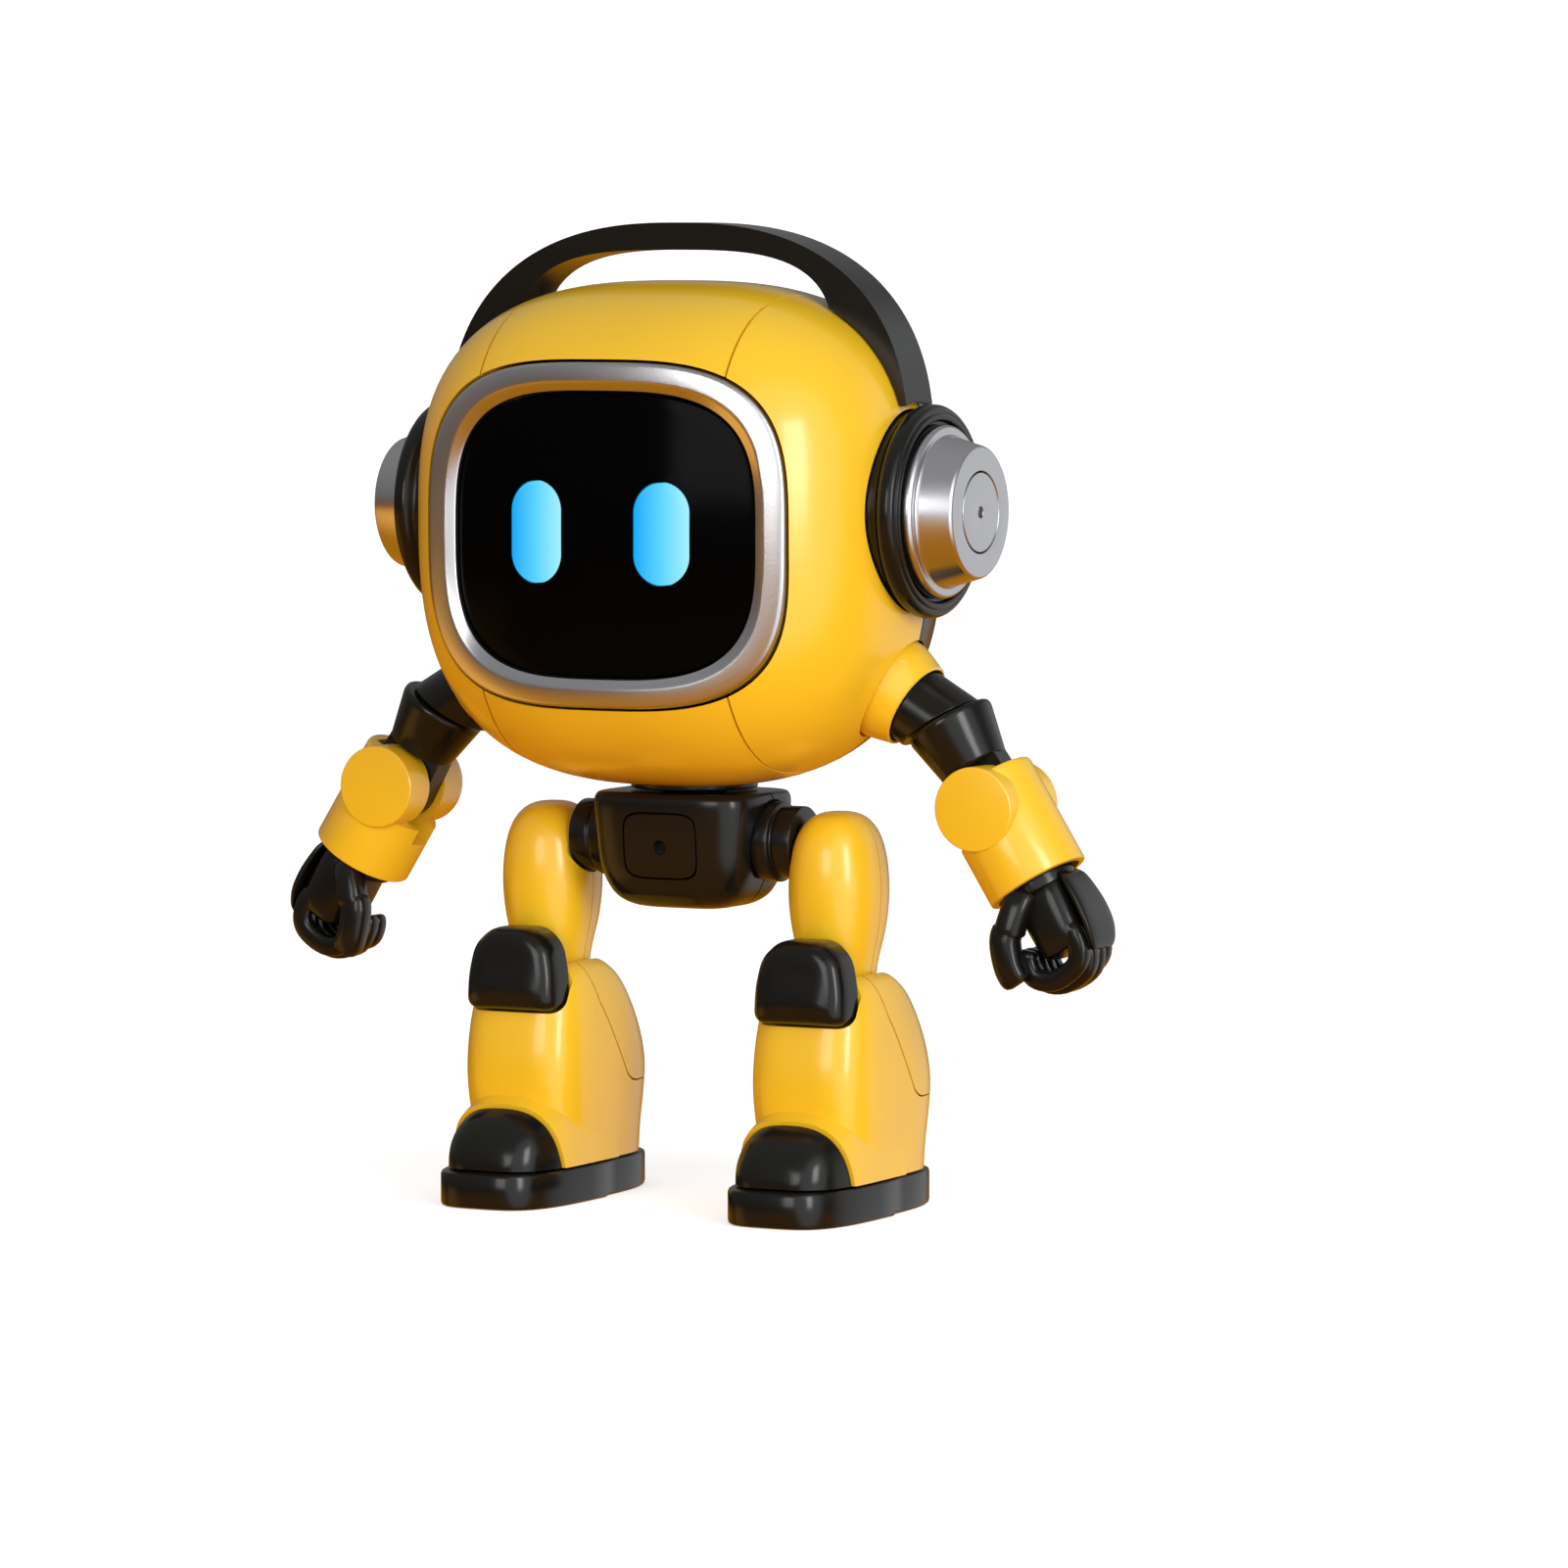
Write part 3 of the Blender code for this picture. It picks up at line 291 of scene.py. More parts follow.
def revolve(profile, origin, axis, segments=72, closed=False):
    """Turn a (radius, distance) profile about an axis through origin."""
    origin, axis = Vector(origin), Vector(axis).normalized()
    side = axis.orthogonal().normalized()
    across = axis.cross(side)
    rings = []
    for radius, along in profile:
        centre = origin + axis * along
        if radius == 0:
            rings.append([centre])
            continue
        ring = []
        for i in range(segments):
            angle = 2 * math.pi * i / segments
            ring.append(centre + (side * math.cos(angle) + across * math.sin(angle)) * radius)
        rings.append(ring)
    return loft(rings, closed)


def rod(radius, start, end, origin, axis, segments=48):
    return revolve([(radius, start), (radius, end)], origin, axis, segments)


def block(low, high):
    bm = bmesh.new()
    bmesh.ops.create_cube(bm, size=1.0)
    low, high = Vector(low), Vector(high)
    for vert in bm.verts:
        vert.co = Vector((low[i] if vert.co[i] < 0 else high[i] for i in range(3)))
    return bm


def slice_off(bm, point, normal):
    """Cut away what lies on the normal's side of a plane, and cap the cut."""
    geometry = bm.verts[:] + bm.edges[:] + bm.faces[:]
    cut_edges = bmesh.ops.bisect_plane(bm, geom=geometry, dist=1e-4, plane_co=point,
                                       plane_no=normal, clear_outer=True)["geom_cut"]
    edges = [item for item in cut_edges if isinstance(item, bmesh.types.BMEdge)]
    bmesh.ops.edgeloop_fill(bm, edges=edges)
    bmesh.ops.recalc_face_normals(bm, faces=bm.faces)
    return bm


def mirrored(bm):
    bmesh.ops.transform(bm, matrix=Matrix.Scale(-1, 4, (1, 0, 0)), verts=bm.verts)
    bmesh.ops.reverse_faces(bm, faces=bm.faces)
    return bm


def merge_flat(bm):
    """Dissolve edges between faces that lie in one plane."""
    flat = math.radians(0.2)
    bmesh.ops.dissolve_limit(bm, angle_limit=flat, verts=bm.verts, edges=bm.edges)


def make_object(name, bm, split=True):
    """Turn a mesh in millimetres into an object in metres, as triangles if split."""
    if split:
        bmesh.ops.triangulate(bm, faces=bm.faces)
    bmesh.ops.scale(bm, vec=(MM, MM, MM), verts=bm.verts)
    mesh = bpy.data.meshes.new(name)
    bm.to_mesh(mesh)
    bm.free()
    obj = bpy.data.objects.new(name, mesh)
    bpy.context.collection.objects.link(obj)
    return obj


def combine(obj, tool, operation):
    """Apply an exact boolean of obj with a tool mesh, and keep the result as triangles."""
    cutter = make_object("cutter", tool)
    bpy.context.view_layer.update()
    modifier = obj.modifiers.new("shape", "BOOLEAN")
    modifier.operation = operation
    modifier.solver = "EXACT"
    modifier.object = cutter
    bpy.context.view_layer.update()
    evaluated = obj.evaluated_get(bpy.context.evaluated_depsgraph_get())
    shaped = bmesh.new()
    shaped.from_mesh(evaluated.to_mesh())
    obj.modifiers.clear()
    merge_flat(shaped)
    bmesh.ops.triangulate(shaped, faces=shaped.faces)
    shaped.to_mesh(obj.data)
    shaped.free()
    bpy.data.objects.remove(cutter, do_unlink=True)
    return obj


def cut(obj, *tools):
    for tool in tools:
        combine(obj, tool, "DIFFERENCE")
    return obj


def join(obj, *tools):
    for tool in tools:
        combine(obj, tool, "UNION")
    return obj


def keep(obj, tool):
    return combine(obj, tool, "INTERSECT")


def duplicate(obj, name):
    copy = bpy.data.objects.new(name, obj.data.copy())
    bpy.context.collection.objects.link(copy)
    return copy


def install(obj, node, soften=0.0, angle=32.0, material=None):
    """Give a fine piece its finish and let it stand for its CAD node."""
    obj.name = node + "_fine"
    obj.data.name = obj.name
    bm = bmesh.new()
    bm.from_mesh(obj.data)
    merge_flat(bm)
    bm.to_mesh(obj.data)
    bm.free()
    obj.data.shade_smooth()
    obj.data.set_sharp_from_angle(angle=math.radians(angle))
    obj.data.materials.clear()
    obj.data.materials.append(material or MATERIALS[SLOT_OF[node]])
    if soften:
        bevel = obj.modifiers.new("soft edges", "BEVEL")
        bevel.width = soften * MM
        bevel.segments = 2
        bevel.limit_method = "ANGLE"
        bevel.angle_limit = math.radians(angle)
        bevel.harden_normals = True
    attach(obj, BODY_OF[node])
    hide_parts(node)
    return obj


def install_pair(obj, base, **options):
    """Install the left piece and a mirror image of it on the right."""
    right = duplicate(obj, base + "_right")
    bm = bmesh.new()
    bm.from_mesh(right.data)
    mirrored(bm).to_mesh(right.data)
    bm.free()
    install(obj, base + "_left", **options)
    install(right, base + "_right", **options)


# ---------------------------------------------------------------- head surfaces

def head_reach(direction, inset=0.0):
    """How far a direction runs from the head's centre to its surface, as a factor."""
    width = HEAD_HALF_WIDTH - inset
    height = (HEAD_TOP if direction.z > 0 else HEAD_BOTTOM) - inset
    if direction.y < 0:
        depth, power = HEAD_FRONT - inset, FRONT_POWER
    else:
        depth, power = HEAD_BACK - inset, BACK_POWER
    around = abs(direction.x / width) ** SIDE_POWER + abs(direction.z / height) ** SIDE_POWER
    total = around ** (power / SIDE_POWER) + abs(direction.y / depth) ** power
    return total ** (-1 / power)


HEAD_CENTRE = Vector((0, HEAD_Y, HEAD_Z))


def head_solid(inset=0.0, grid=HEAD_GRID):
    bm = bmesh.new()
    bmesh.ops.create_cube(bm, size=2.0)
    bmesh.ops.subdivide_edges(bm, edges=bm.edges, cuts=grid - 1, use_grid_fill=True)
    for vert in bm.verts:
        even = Vector(math.tan(value * math.pi / 4) for value in vert.co)
        vert.co = HEAD_CENTRE + even * head_reach(even, inset)
    bmesh.ops.recalc_face_normals(bm, faces=bm.faces)
    return bm


def head_slope(point):
    """Outward direction of the head's surface at a point on it."""
    step = 0.02
    slopes = []
    for axis in range(3):
        ahead, behind = point.copy(), point.copy()
        ahead[axis] += step
        behind[axis] -= step
        slopes.append(1 / head_reach(ahead - HEAD_CENTRE) - 1 / head_reach(behind - HEAD_CENTRE))
    return Vector(slopes).normalized()


def polish_head(obj):
    """Exact surface normals on the head's outer skin; flat ones on its cut edges."""
    mesh = obj.data
    on_skin = []
    slopes = []
    for vert in mesh.vertices:
        point = vert.co / MM
        skin = abs(1 / head_reach(point - HEAD_CENTRE) - 1) < 0.0015
        on_skin.append(skin)
        slopes.append(head_slope(point) if skin else None)
    normals = []
    for polygon in mesh.polygons:
        skin = all(on_skin[index] for index in polygon.vertices)
        facing = skin and polygon.normal.dot(slopes[polygon.vertices[0]]) > 0.8
        for index in polygon.vertices:
            normals.append(tuple(slopes[index] if facing else polygon.normal))
    mesh.normals_split_custom_set(normals)


def bezel_y(x, z):
    """Front of the bezel's crown: a shallow dish about the face's centre."""
    return BEZEL_FRONT_Y + x ** 2 / 216 + (z - FACE_Z) ** 2 / 534


def glass_y(x, z):
    """Front of the lens and of the eyes, domed a little more than the bezel."""
    return GLASS_FRONT_Y + x ** 2 / 180 + (z - FACE_Z) ** 2 / 400


def face_prism(half, grow, low_y, high_y):
    outline = superellipse(half[0] + grow, half[1] + grow, FACE_POWER, 128)
    return loft([[(x, y, FACE_Z + z) for x, z in outline] for y in (low_y, high_y)])


def collar_hole(radius):
    return rod(radius, -12.0, 4.0, RIM, COLLAR_DIR, 64)


def ear_hole(side):
    axis = ((0, EAR_Y, EAR_Z), (1, 0, 0))
    return rod(PAD_SPIGOT_R + GAP, side * 28.0, side * 40.0, *axis, 96)


def door_prism(grow):
    outline = superellipse(DOOR_HALF[0] + grow, DOOR_HALF[1] + grow, 6.0, 96)
    return loft([[(x, y, DOOR_Z + z) for x, z in outline] for y in (DOOR_DEPTH_Y, FAR)])


# ---------------------------------------------------------------- head pieces

def build_head():
    shell = make_object("shell", head_solid())
    cut(shell, head_solid(WALL, 14))
    door = keep(duplicate(shell, "door"), door_prism(0))
    cut(shell, face_prism(BEZEL_HALF, 0.35, -FAR, -12.0), ear_hole(1), ear_hole(-1),
        collar_hole(COLLAR_R + GAP), mirrored(collar_hole(COLLAR_R + GAP)),
        rod(NECK_R + GAP, 50.0, 70.0, (0, 0, 0), (0, 0, 1), 64), door_prism(GAP))
    front, rear = BACK_SEAM_Y - GAP / 2, BACK_SEAM_Y + GAP / 2
    seam_in, seam_out = CHEEK_SEAM_X - 0.1, CHEEK_SEAM_X + 0.2
    parts = (("head_centre_shell", (-seam_in, -FAR, 0), (seam_in, front, 200)),
             ("head_side_shell_left", (seam_out, -FAR, 0), (FAR, front, 200)),
             ("head_side_shell_right", (-FAR, -FAR, 0), (-seam_out, front, 200)),
             ("head_back_cover", (-FAR, rear, 0), (FAR, FAR, 200)))
    for node, low, high in parts:
        part = keep(duplicate(shell, node), block(low, high))
        install(part, node)
        polish_head(part)
    bpy.data.objects.remove(shell, do_unlink=True)
    screw_axis = ((0, 0, SCREW_Z), (0, 1, 0))
    cut(door, rod(2.5, 25.7, FAR, *screw_axis), rod(1.3, 10.0, FAR, *screw_axis))
    install(door, "battery_door")
    polish_head(door)


def build_face():
    """Bezel rings as (inset from the outer edge, set-back from the front surface)."""
    steps = [(0.0, 2.0), (0.0, 0.5), (0.1, 0.2), (0.3, 0.05), (0.6, 0.0), (1.5, -0.02),
             (2.5, 0.0), (2.8, 0.03), (3.0, 0.12), (3.15, 0.22), (4.0, 0.68), (4.15, 0.8),
             (4.2, 1.0)]
    rings = []
    for inset, back in steps:
        half_x, half_z = BEZEL_HALF[0] - inset, BEZEL_HALF[1] - inset * BEZEL_RATIO
        ring = []
        for x, z in superellipse(half_x, half_z, FACE_POWER, 160):
            ring.append((x, bezel_y(x, z + FACE_Z) + back, FACE_Z + z))
        rings.append(ring)
    for half in ((22.07, 18.58), (25.4, 21.5)):
        outline = superellipse(*half, FACE_POWER, 160)
        rings.append([(x, BEZEL_BACK_Y, FACE_Z + z) for x, z in outline])
    install(make_object("bezel", loft(rings, closed=True), False), "face_bezel", angle=50)

    def pillow(outline, centre_x, centre_z, back, edge):
        rings = [[(centre_x, glass_y(centre_x, centre_z), centre_z)]]
        stages = [(i / 10, 0.0) for i in range(1, 10)]
        stages += [(1 - edge * 2, 0.0), (1 - edge * 0.7, 0.04), (1.0, 0.2), (1.0, back)]
        for scale, depth in stages:
            points = [(centre_x + x * scale, centre_z + z * scale) for x, z in outline]
            rings.append([(x, glass_y(x, z) + depth, z) for x, z in points])
        rings.append([(centre_x, glass_y(centre_x, centre_z) + back, centre_z)])
        return loft(rings)

    outline = superellipse(*GLASS_HALF, FACE_POWER, 128)
    lens = make_object("lens", pillow(outline, 0, FACE_Z, GLASS_THICK, 0.008))
    slot = stadium(EYE_WIDTH / 2 + 0.12, EYE_HEIGHT / 2 + 0.12, 64)
    for side in (-1, 1):
        rings = [[(side * EYE_X + x, y, EYE_Z + z) for x, z in slot] for y in (-FAR, -15.0)]
        cut(lens, loft(rings))
    install(lens, "screen_lens")
    outline = stadium(EYE_WIDTH / 2, EYE_HEIGHT / 2, 64)
    for node, side, material in (("eye_light_left", 1, None),
                                 ("eye_light_right", -1, EYE_RIGHT_MATERIAL)):
        eye = make_object("eye", pillow(outline, side * EYE_X, EYE_Z, 3.2, 0.02))
        install(eye, node, material=material)


def build_headphones():
    axis = ((0, EAR_Y, EAR_Z), (1, 0, 0))
    pad = [(0, 31.9), (PAD_SPIGOT_R, 31.9), (PAD_SPIGOT_R, 34.2), (13.6, 34.8), (PAD_R, 35.3),
           (PAD_R, 36.3), (13.6, 36.9), (13.1, 37.1), (12.75, 37.0), (12.7, 37.2),
           (12.4, 37.35), (11.9, 37.3), (11.8, 36.5), (0, 36.5)]
    pod = [(0, 36.8), (11.25, 36.8), (11.25, 38.0), (10.85, 38.4), (10.0, 38.4), (9.8, 38.7),
           (8.65, 42.7), (8.3, POD_FACE_X), (CAP_R + 0.2, POD_FACE_X), (CAP_R + 0.2, 41.2),
           (0, 41.2)]
    cap = [(0, 41.5), (CAP_R, 41.5), (CAP_R, POD_FACE_X), (0.75, POD_FACE_X), (0.75, 42.0),
           (0, 42.0)]
    for base, profile, radius in (("ear_pad", pad, 0.25), ("ear_pod", pod, 0.18),
                                  ("ear_cap", cap, 0.12)):
        ring = make_object(base, revolve(rounded(profile, radius), *axis, 128), False)
        install_pair(ring, base, angle=40)

    low, high = EAR_Y - BAND_HALF_DEPTH, EAR_Y + BAND_HALF_DEPTH
    arch = superellipse(BAND_HALF_WIDTH, BAND_RISE, BAND_POWER, 192)
    arch = [(x, BAND_CENTRE_Z + z) for x, z in arch]
    band = make_object("headband", loft([[(x, y, z) for x, z in arch] for y in (low, high)]))
    cut(band, block((-FAR, -FAR, 0), (FAR, FAR, BAND_CENTRE_Z)))
    cut(band, head_solid(-GAP, 30))
    window = superellipse(WINDOW_HALF_WIDTH, WINDOW_RISE, WINDOW_POWER, 128)
    cut(band, loft([[(x, y, WINDOW_Z + z) for x, z in window] for y in (-FAR, FAR)]))
    for side in (-1, 1):
        cut(band, rod(PAD_R + GAP, side * 20.0, side * FAR, *axis, 96))
    install(band, "headband", soften=0.45)


# ---------------------------------------------------------------- arm pieces

def along_arm(distance, out=0.0, y=0.0):
    """A point at a distance beyond the elbow along the arm, set outwards and in Y."""
    return ELBOW + ARM_DIR * distance + ARM_OUT * out + Vector((0, y, 0))


def arm_loft(sections, count, power):
    """Skin (distance, out, y, half_out, half_y) sections across the arm."""
    rings = []
    for distance, out, y, half_out, half_y in refine(sections):
        outline = superellipse(half_out, half_y, power, count)
        rings.append([along_arm(distance, out + u, y + v) for u, v in outline])
    return loft(rings)


def finger(path, half_width, half_thick, power):
    """Sweep a rounded section along a path of (distance, out, y) points."""
    centres = [along_arm(*point) for point in refine(path, 5)]
    rings = []
    last = len(centres) - 1
    for i, centre in enumerate(centres):
        ahead = (centres[min(i + 1, last)] - centres[max(i - 1, 0)]).normalized()
        side = Vector((0, 1, 0))
        side = (side - ahead * side.dot(ahead)).normalized()
        lift = ahead.cross(side)
        edge = min(i, last - i)
        size = (0.55, 0.85, 0.97)[edge] if edge < 3 else 1.0
        ring = []
        for u, v in superellipse(half_width * size, half_thick * size, power, 24):
            ring.append(centre + side * u + lift * v)
        rings.append(ring)
    return loft(rings)


def build_arm():
    collar = [(PLUG_R + GAP, -7.0), (COLLAR_R, -7.0), (COLLAR_R, -3.9), (6.75, -2.9), (6.35, -1.6),
              (RIM_R, -0.5), (5.9, -0.15), (5.7, 0.0), (PLUG_R + GAP + 0.05, 0.0),
              (PLUG_R + GAP, -0.2)]
    ring = make_object("collar", revolve(collar, RIM, COLLAR_DIR, 80, closed=True), False)
    install_pair(ring, "shoulder_collar", angle=40)

    plug = rod(PLUG_R, -6.5, 14.0, RIM, COLLAR_DIR, 72)
    slice_off(plug, along_arm(SEAM_A - GAP), ARM_DIR)
    plug = make_object("plug", plug)
    join(plug, rod(2.0, SEAM_A - 3.0, SEAM_A + 2.6, ELBOW, ARM_DIR, 32))
    install_pair(plug, "shoulder_joint", soften=0.2)

    profile = rounded([(0, SEAM_A), (5.75, SEAM_A), (5.9, SEAM_A + 0.7), (4.55, CONE_END_A),
                       (0, CONE_END_A)], 0.3)
    arm = make_object("arm", revolve(profile, ELBOW, ARM_DIR, 72))
    cut(arm, rod(2.3, SEAM_A - 1.0, SEAM_A + 3.0, ELBOW, ARM_DIR, 32))
    turn = [math.pi * (i / 24 - 0.5) for i in range(25)]
    outline = [(TONGUE_R * math.cos(t), TONGUE_R * math.sin(t)) for t in turn]
    outline += [(CONE_END_A - 1.0, 4.2), (CONE_END_A - 1.0, -4.2)]
    join(arm, loft([[along_arm(a, out, y) for a, out in outline]
                    for y in (-TONGUE_HALF, TONGUE_HALF)]))
    cut(arm, rod(PIN_R + GAP, -10, 10, ELBOW, (0, 1, 0), 32))
    install_pair(arm, "upper_arm", soften=0.15)

    profile = rounded([(0, -3.6), (CUFF_R - 0.2, -3.6), (CUFF_R, -3.1), (CUFF_R, CUFF_END_A),
                       (0, CUFF_END_A)], 0.35)
    sleeve = make_object("sleeve", revolve(profile, ELBOW, ARM_DIR, 80))
    wedge = [along_arm(a, out, y) for y in (-FAR, FAR)
             for a, out in ((-20, -20), (-20, 3.6), (3.2, 3.6), (3.2, -20))]
    cut(sleeve, loft([wedge[:4], wedge[4:]]))
    for side in (-1, 1):
        cheek = rounded([(0, 0.0), (DISC_R, 0.0), (DISC_R, DISC_Y), (0, DISC_Y)], 0.35)
        join(sleeve, revolve(cheek, ELBOW, (0, side, 0), 64))
    slot = [along_arm(a, out, y) for y in (-CHEEK_IN_Y, CHEEK_IN_Y)
            for a, out in ((-20, -20), (-20, 5.4), (5.4, 5.4), (5.4, -20))]
    cut(sleeve, loft([slot[:4], slot[4:]]))
    cut(sleeve, rod(5.9, 8.0, 20.0, ELBOW, ARM_DIR, 64), rod(1.9, 6.0, 10.0, ELBOW, ARM_DIR, 24),
        rod(PIN_R + GAP, -DISC_Y + 1.0, DISC_Y - 1.0, ELBOW, (0, 1, 0), 32))
    install_pair(sleeve, "forearm_sleeve", soften=0.2)


def build_hand():
    wrist = rounded([(0, 6.6), (1.6, 6.6), (1.6, 8.3), (5.0, 8.3), (5.0, 13.0), (0, 13.0)], 0.3)
    hand = make_object("hand", revolve(wrist, ELBOW, ARM_DIR, 48))
    palm = [(12.0, 0.2, 0.0, 3.3, 3.4), (12.3, 0.2, 0.0, 3.8, 3.8), (14.0, 0.3, 0.0, 3.9, 4.3),
            (18.0, 0.2, 0.0, 3.8, 4.5), (20.6, 0.1, 0.0, 3.5, 4.4), (21.4, 0.0, 0.0, 2.6, 3.8)]
    join(hand, arm_loft(palm, 48, 3.6))
    for index, y in enumerate((-3.25, -1.05, 1.15, 3.25)):
        reach = (24.2, 24.8, 24.7, 23.9)[index]
        path = [(18.6, 2.5, y), (22.2, 2.0, y), (reach - 0.3, 0.3, y), (reach - 0.2, -3.2, y),
                (reach - 1.9, -5.4, y), (20.0, -5.3, y), (18.8, -4.4, y)]
        join(hand, finger(path, 1.16, 1.35, 3.4))
    upper = [(12.4, -0.6, -3.4), (13.4, -2.0, -4.6), (15.2, -4.0, -5.2), (16.4, -5.0, -5.3)]
    join(hand, finger(upper, 1.9, 1.9, 3.0))
    tip = [(15.0, -4.2, -5.2), (16.6, -5.7, -5.5), (19.8, -6.9, -5.5), (22.2, -7.0, -5.1)]
    join(hand, finger(tip, 1.75, 1.95, 3.0))
    install_pair(hand, "hand")

    sections = ((12.1, 4.35, 0.25, 2.5), (12.4, 4.45, 0.4, 2.9), (13.6, 4.85, 0.5, 3.4),
                (17.0, 5.05, 0.55, 3.9), (20.0, 4.8, 0.5, 4.0), (22.0, 4.2, 0.45, 3.6),
                (22.9, 3.75, 0.35, 3.1), (23.2, 3.6, 0.2, 2.6))
    rows = [(a, out, 0.0, half, width) for a, out, half, width in sections]
    install_pair(make_object("plate", arm_loft(rows, 48, 3.8)), "hand_back_plate")


# ---------------------------------------------------------------- pelvis and hips

def pelvis_solid(inset=0.0):
    """Rows of (z, half width, half depth); the back is shallower than the front."""
    sections = ((39.5, 3.4, 2.4), (39.55, 5.4, 4.4), (40.1, 7.6, 6.4), (41.6, 9.5, 8.1),
                (44.8, 10.9, 9.4), (49.0, 11.5, 9.9), (53.2, 11.8, 10.1), (54.5, 11.6, 9.9),
                (54.95, 11.0, 9.3), (55.0, 9.7, 8.0))
    middle = (PELVIS_BOTTOM + PELVIS_TOP) / 2
    squeeze = 1 - 2 * inset / (PELVIS_TOP - PELVIS_BOTTOM)
    rings = []
    for z, half_x, half_y in refine(sections):
        outline = superellipse(half_x - inset, half_y - inset, 4.5, 80)
        rings.append([(x, y * (0.86 if y > 0 else 1.0), middle + (z - middle) * squeeze)
                      for x, y in outline])
    return loft(rings)


def button_prism(grow, low_y, high_y):
    outline = superellipse(BUTTON_HALF[0] + grow, BUTTON_HALF[1] + grow, 5.0, 64)
    return loft([[(x, y, BUTTON_Z + z) for x, z in outline] for y in (low_y, high_y)])


def build_pelvis():
    hip = ((0, 0, HIP_Z), (1, 0, 0))
    shell = make_object("pelvis", pelvis_solid())
    cut(shell, pelvis_solid(1.6), rod(4.5, 50.0, 60.0, (0, 0, 0), (0, 0, 1)),
        rod(1.95, -20, 20, *hip, 32), rod(5.6, 10.6, 20, *hip, 64), rod(5.6, -20, -10.6, *hip, 64),
        button_prism(0.25, -20.0, -5.0))
    for node, low_y, high_y in (("pelvis_front_shell", -FAR, -GAP / 2),
                                ("pelvis_back_shell", GAP / 2, FAR)):
        part = keep(duplicate(shell, node), block((-FAR, low_y, 0), (FAR, high_y, FAR + 20)))
        install(part, node)
    bpy.data.objects.remove(shell, do_unlink=True)
    button = keep(make_object("button", pelvis_solid()), button_prism(0, -20.0, -7.9))
    cut(button, rod(0.95, -20.0, -8.6, (0, 0, BUTTON_Z - 0.2), (0, 1, 0), 32))
    install(button, "mode_button", soften=0.12)

    boss = rounded([(0, 52.0), (5.3, 52.0), (5.3, 52.7), (4.2, 52.8), (4.2, NECK_Z),
                    (NECK_R, NECK_Z), (NECK_R, 61.5), (0, 61.5)], 0.25)
    neck = make_object("neck", revolve(boss, (0, 0, 0), (0, 0, 1), 80), False)
    install(neck, "neck_turntable", angle=40)

    shaft = rounded([(0, 2.4), (1.6, 2.4), (1.6, 10.9), (5.3, 10.9), (5.3, 13.3), (4.6, 13.5),
                     (4.6, 13.8), (4.8, 14.0), (4.8, 16.5), (2.4, 16.5), (2.4, 19.0), (0, 19.0)],
                    0.25)
    shaft = make_object("shaft", revolve(shaft, *hip, 72), False)
    install_pair(shaft, "hip_shaft", angle=40)


# ---------------------------------------------------------------- leg pieces

def thigh_solid():
    """Rows of (z, half width, half depth)."""
    sections = ((23.95, 3.0, 0.6), (24.0, 3.8, 1.2), (24.8, 4.3, 2.8), (26.5, 4.6, 4.1),
                (29.0, 4.7, 4.6), (32.5, 4.8, 5.2), (37.5, 5.8, 6.5), (42.0, 6.2, 7.0),
                (46.5, 5.9, 6.8), (49.8, 5.0, 5.9), (51.8, 3.6, 4.3), (52.65, 2.0, 2.4),
                (52.8, 0.5, 0.6))
    rings = []
    for z, half_x, half_y in refine(sections):
        outline = superellipse(half_x, half_y, 2.3, 56)
        rings.append([(LEG_X + x, y, z) for x, y in outline])
    return loft(rings)


def build_thigh():
    for node, way in (("thigh_front_shell", -1), ("thigh_back_shell", 1)):
        half = slice_off(thigh_solid(), (0, way * GAP / 3, 0), (0, -way, 0))
        half = make_object(node, half)
        cut(half, rod(5.1, 10.0, 16.8, (0, 0, HIP_Z), (1, 0, 0), 56))
        cut(half, rod(2.7, 10.0, 19.3, (0, 0, HIP_Z), (1, 0, 0), 32))
        cut(half, rod(PIN_R + GAP, 10.0, 34.0, (0, 0, KNEE_Z), (1, 0, 0), 32))
        install_pair(half, node)


def shin_solid():
    """Rows of (z, half width, reach forwards, reach backwards)."""
    sections = ((BOOT_BOTTOM, 7.9, 8.6, 14.2), (9.0, 8.3, 10.6, 14.0), (13.0, 8.7, 11.7, 14.3),
                (17.0, 8.8, 12.3, 14.6), (21.0, 8.7, 12.1, 13.4), (25.0, 8.4, 11.3, 11.0),
                (28.5, 7.8, 10.3, 8.2), (30.6, 7.0, 9.3, 5.4), (31.6, 6.0, 8.2, 3.4),
                (31.8, 4.6, 6.8, 2.0))
    rings = []
    for z, half_x, front, back in refine(sections):
        ring = []
        for x, y in superellipse(half_x, 1.0, 3.8, 72):
            reach = front if y < 0 else back
            ring.append((LEG_X + x, y * reach, z))
        rings.append(ring)
    return loft(rings)


def foot_solid(inset=0.0):
    """Rows of (y, half width, height) from the toe backwards, flat underneath."""
    sections = ((-19.45, 2.0, 0.8), (-19.4, 3.4, 1.6), (-19.0, 4.8, 3.2), (-18.0, 6.2, 5.2),
                (-16.4, 7.3, 7.0), (-14.2, 7.9, 8.3), (-11.6, 8.3, 9.4), (-8.0, 8.5, 9.9),
                (3.0, 8.4, 8.6))
    rings = []
    count = 40
    for y, half_x, height in refine(sections):
        width, rise = max(half_x - inset, 0.3), max(height - inset, 0.3)
        ring = []
        for i in range(count + 1):
            angle = math.pi * i / count
            cos, sin = math.cos(angle), max(math.sin(angle), 0.0)
            x = width * math.copysign(abs(cos) ** (2 / 2.6), cos)
            ring.append((LEG_X + x, y + (inset if y < 0 else -inset) * 0.8,
                         BOOT_BOTTOM + rise * sin ** (2 / 2.6)))
        rings.append(ring)
    return loft(rings)


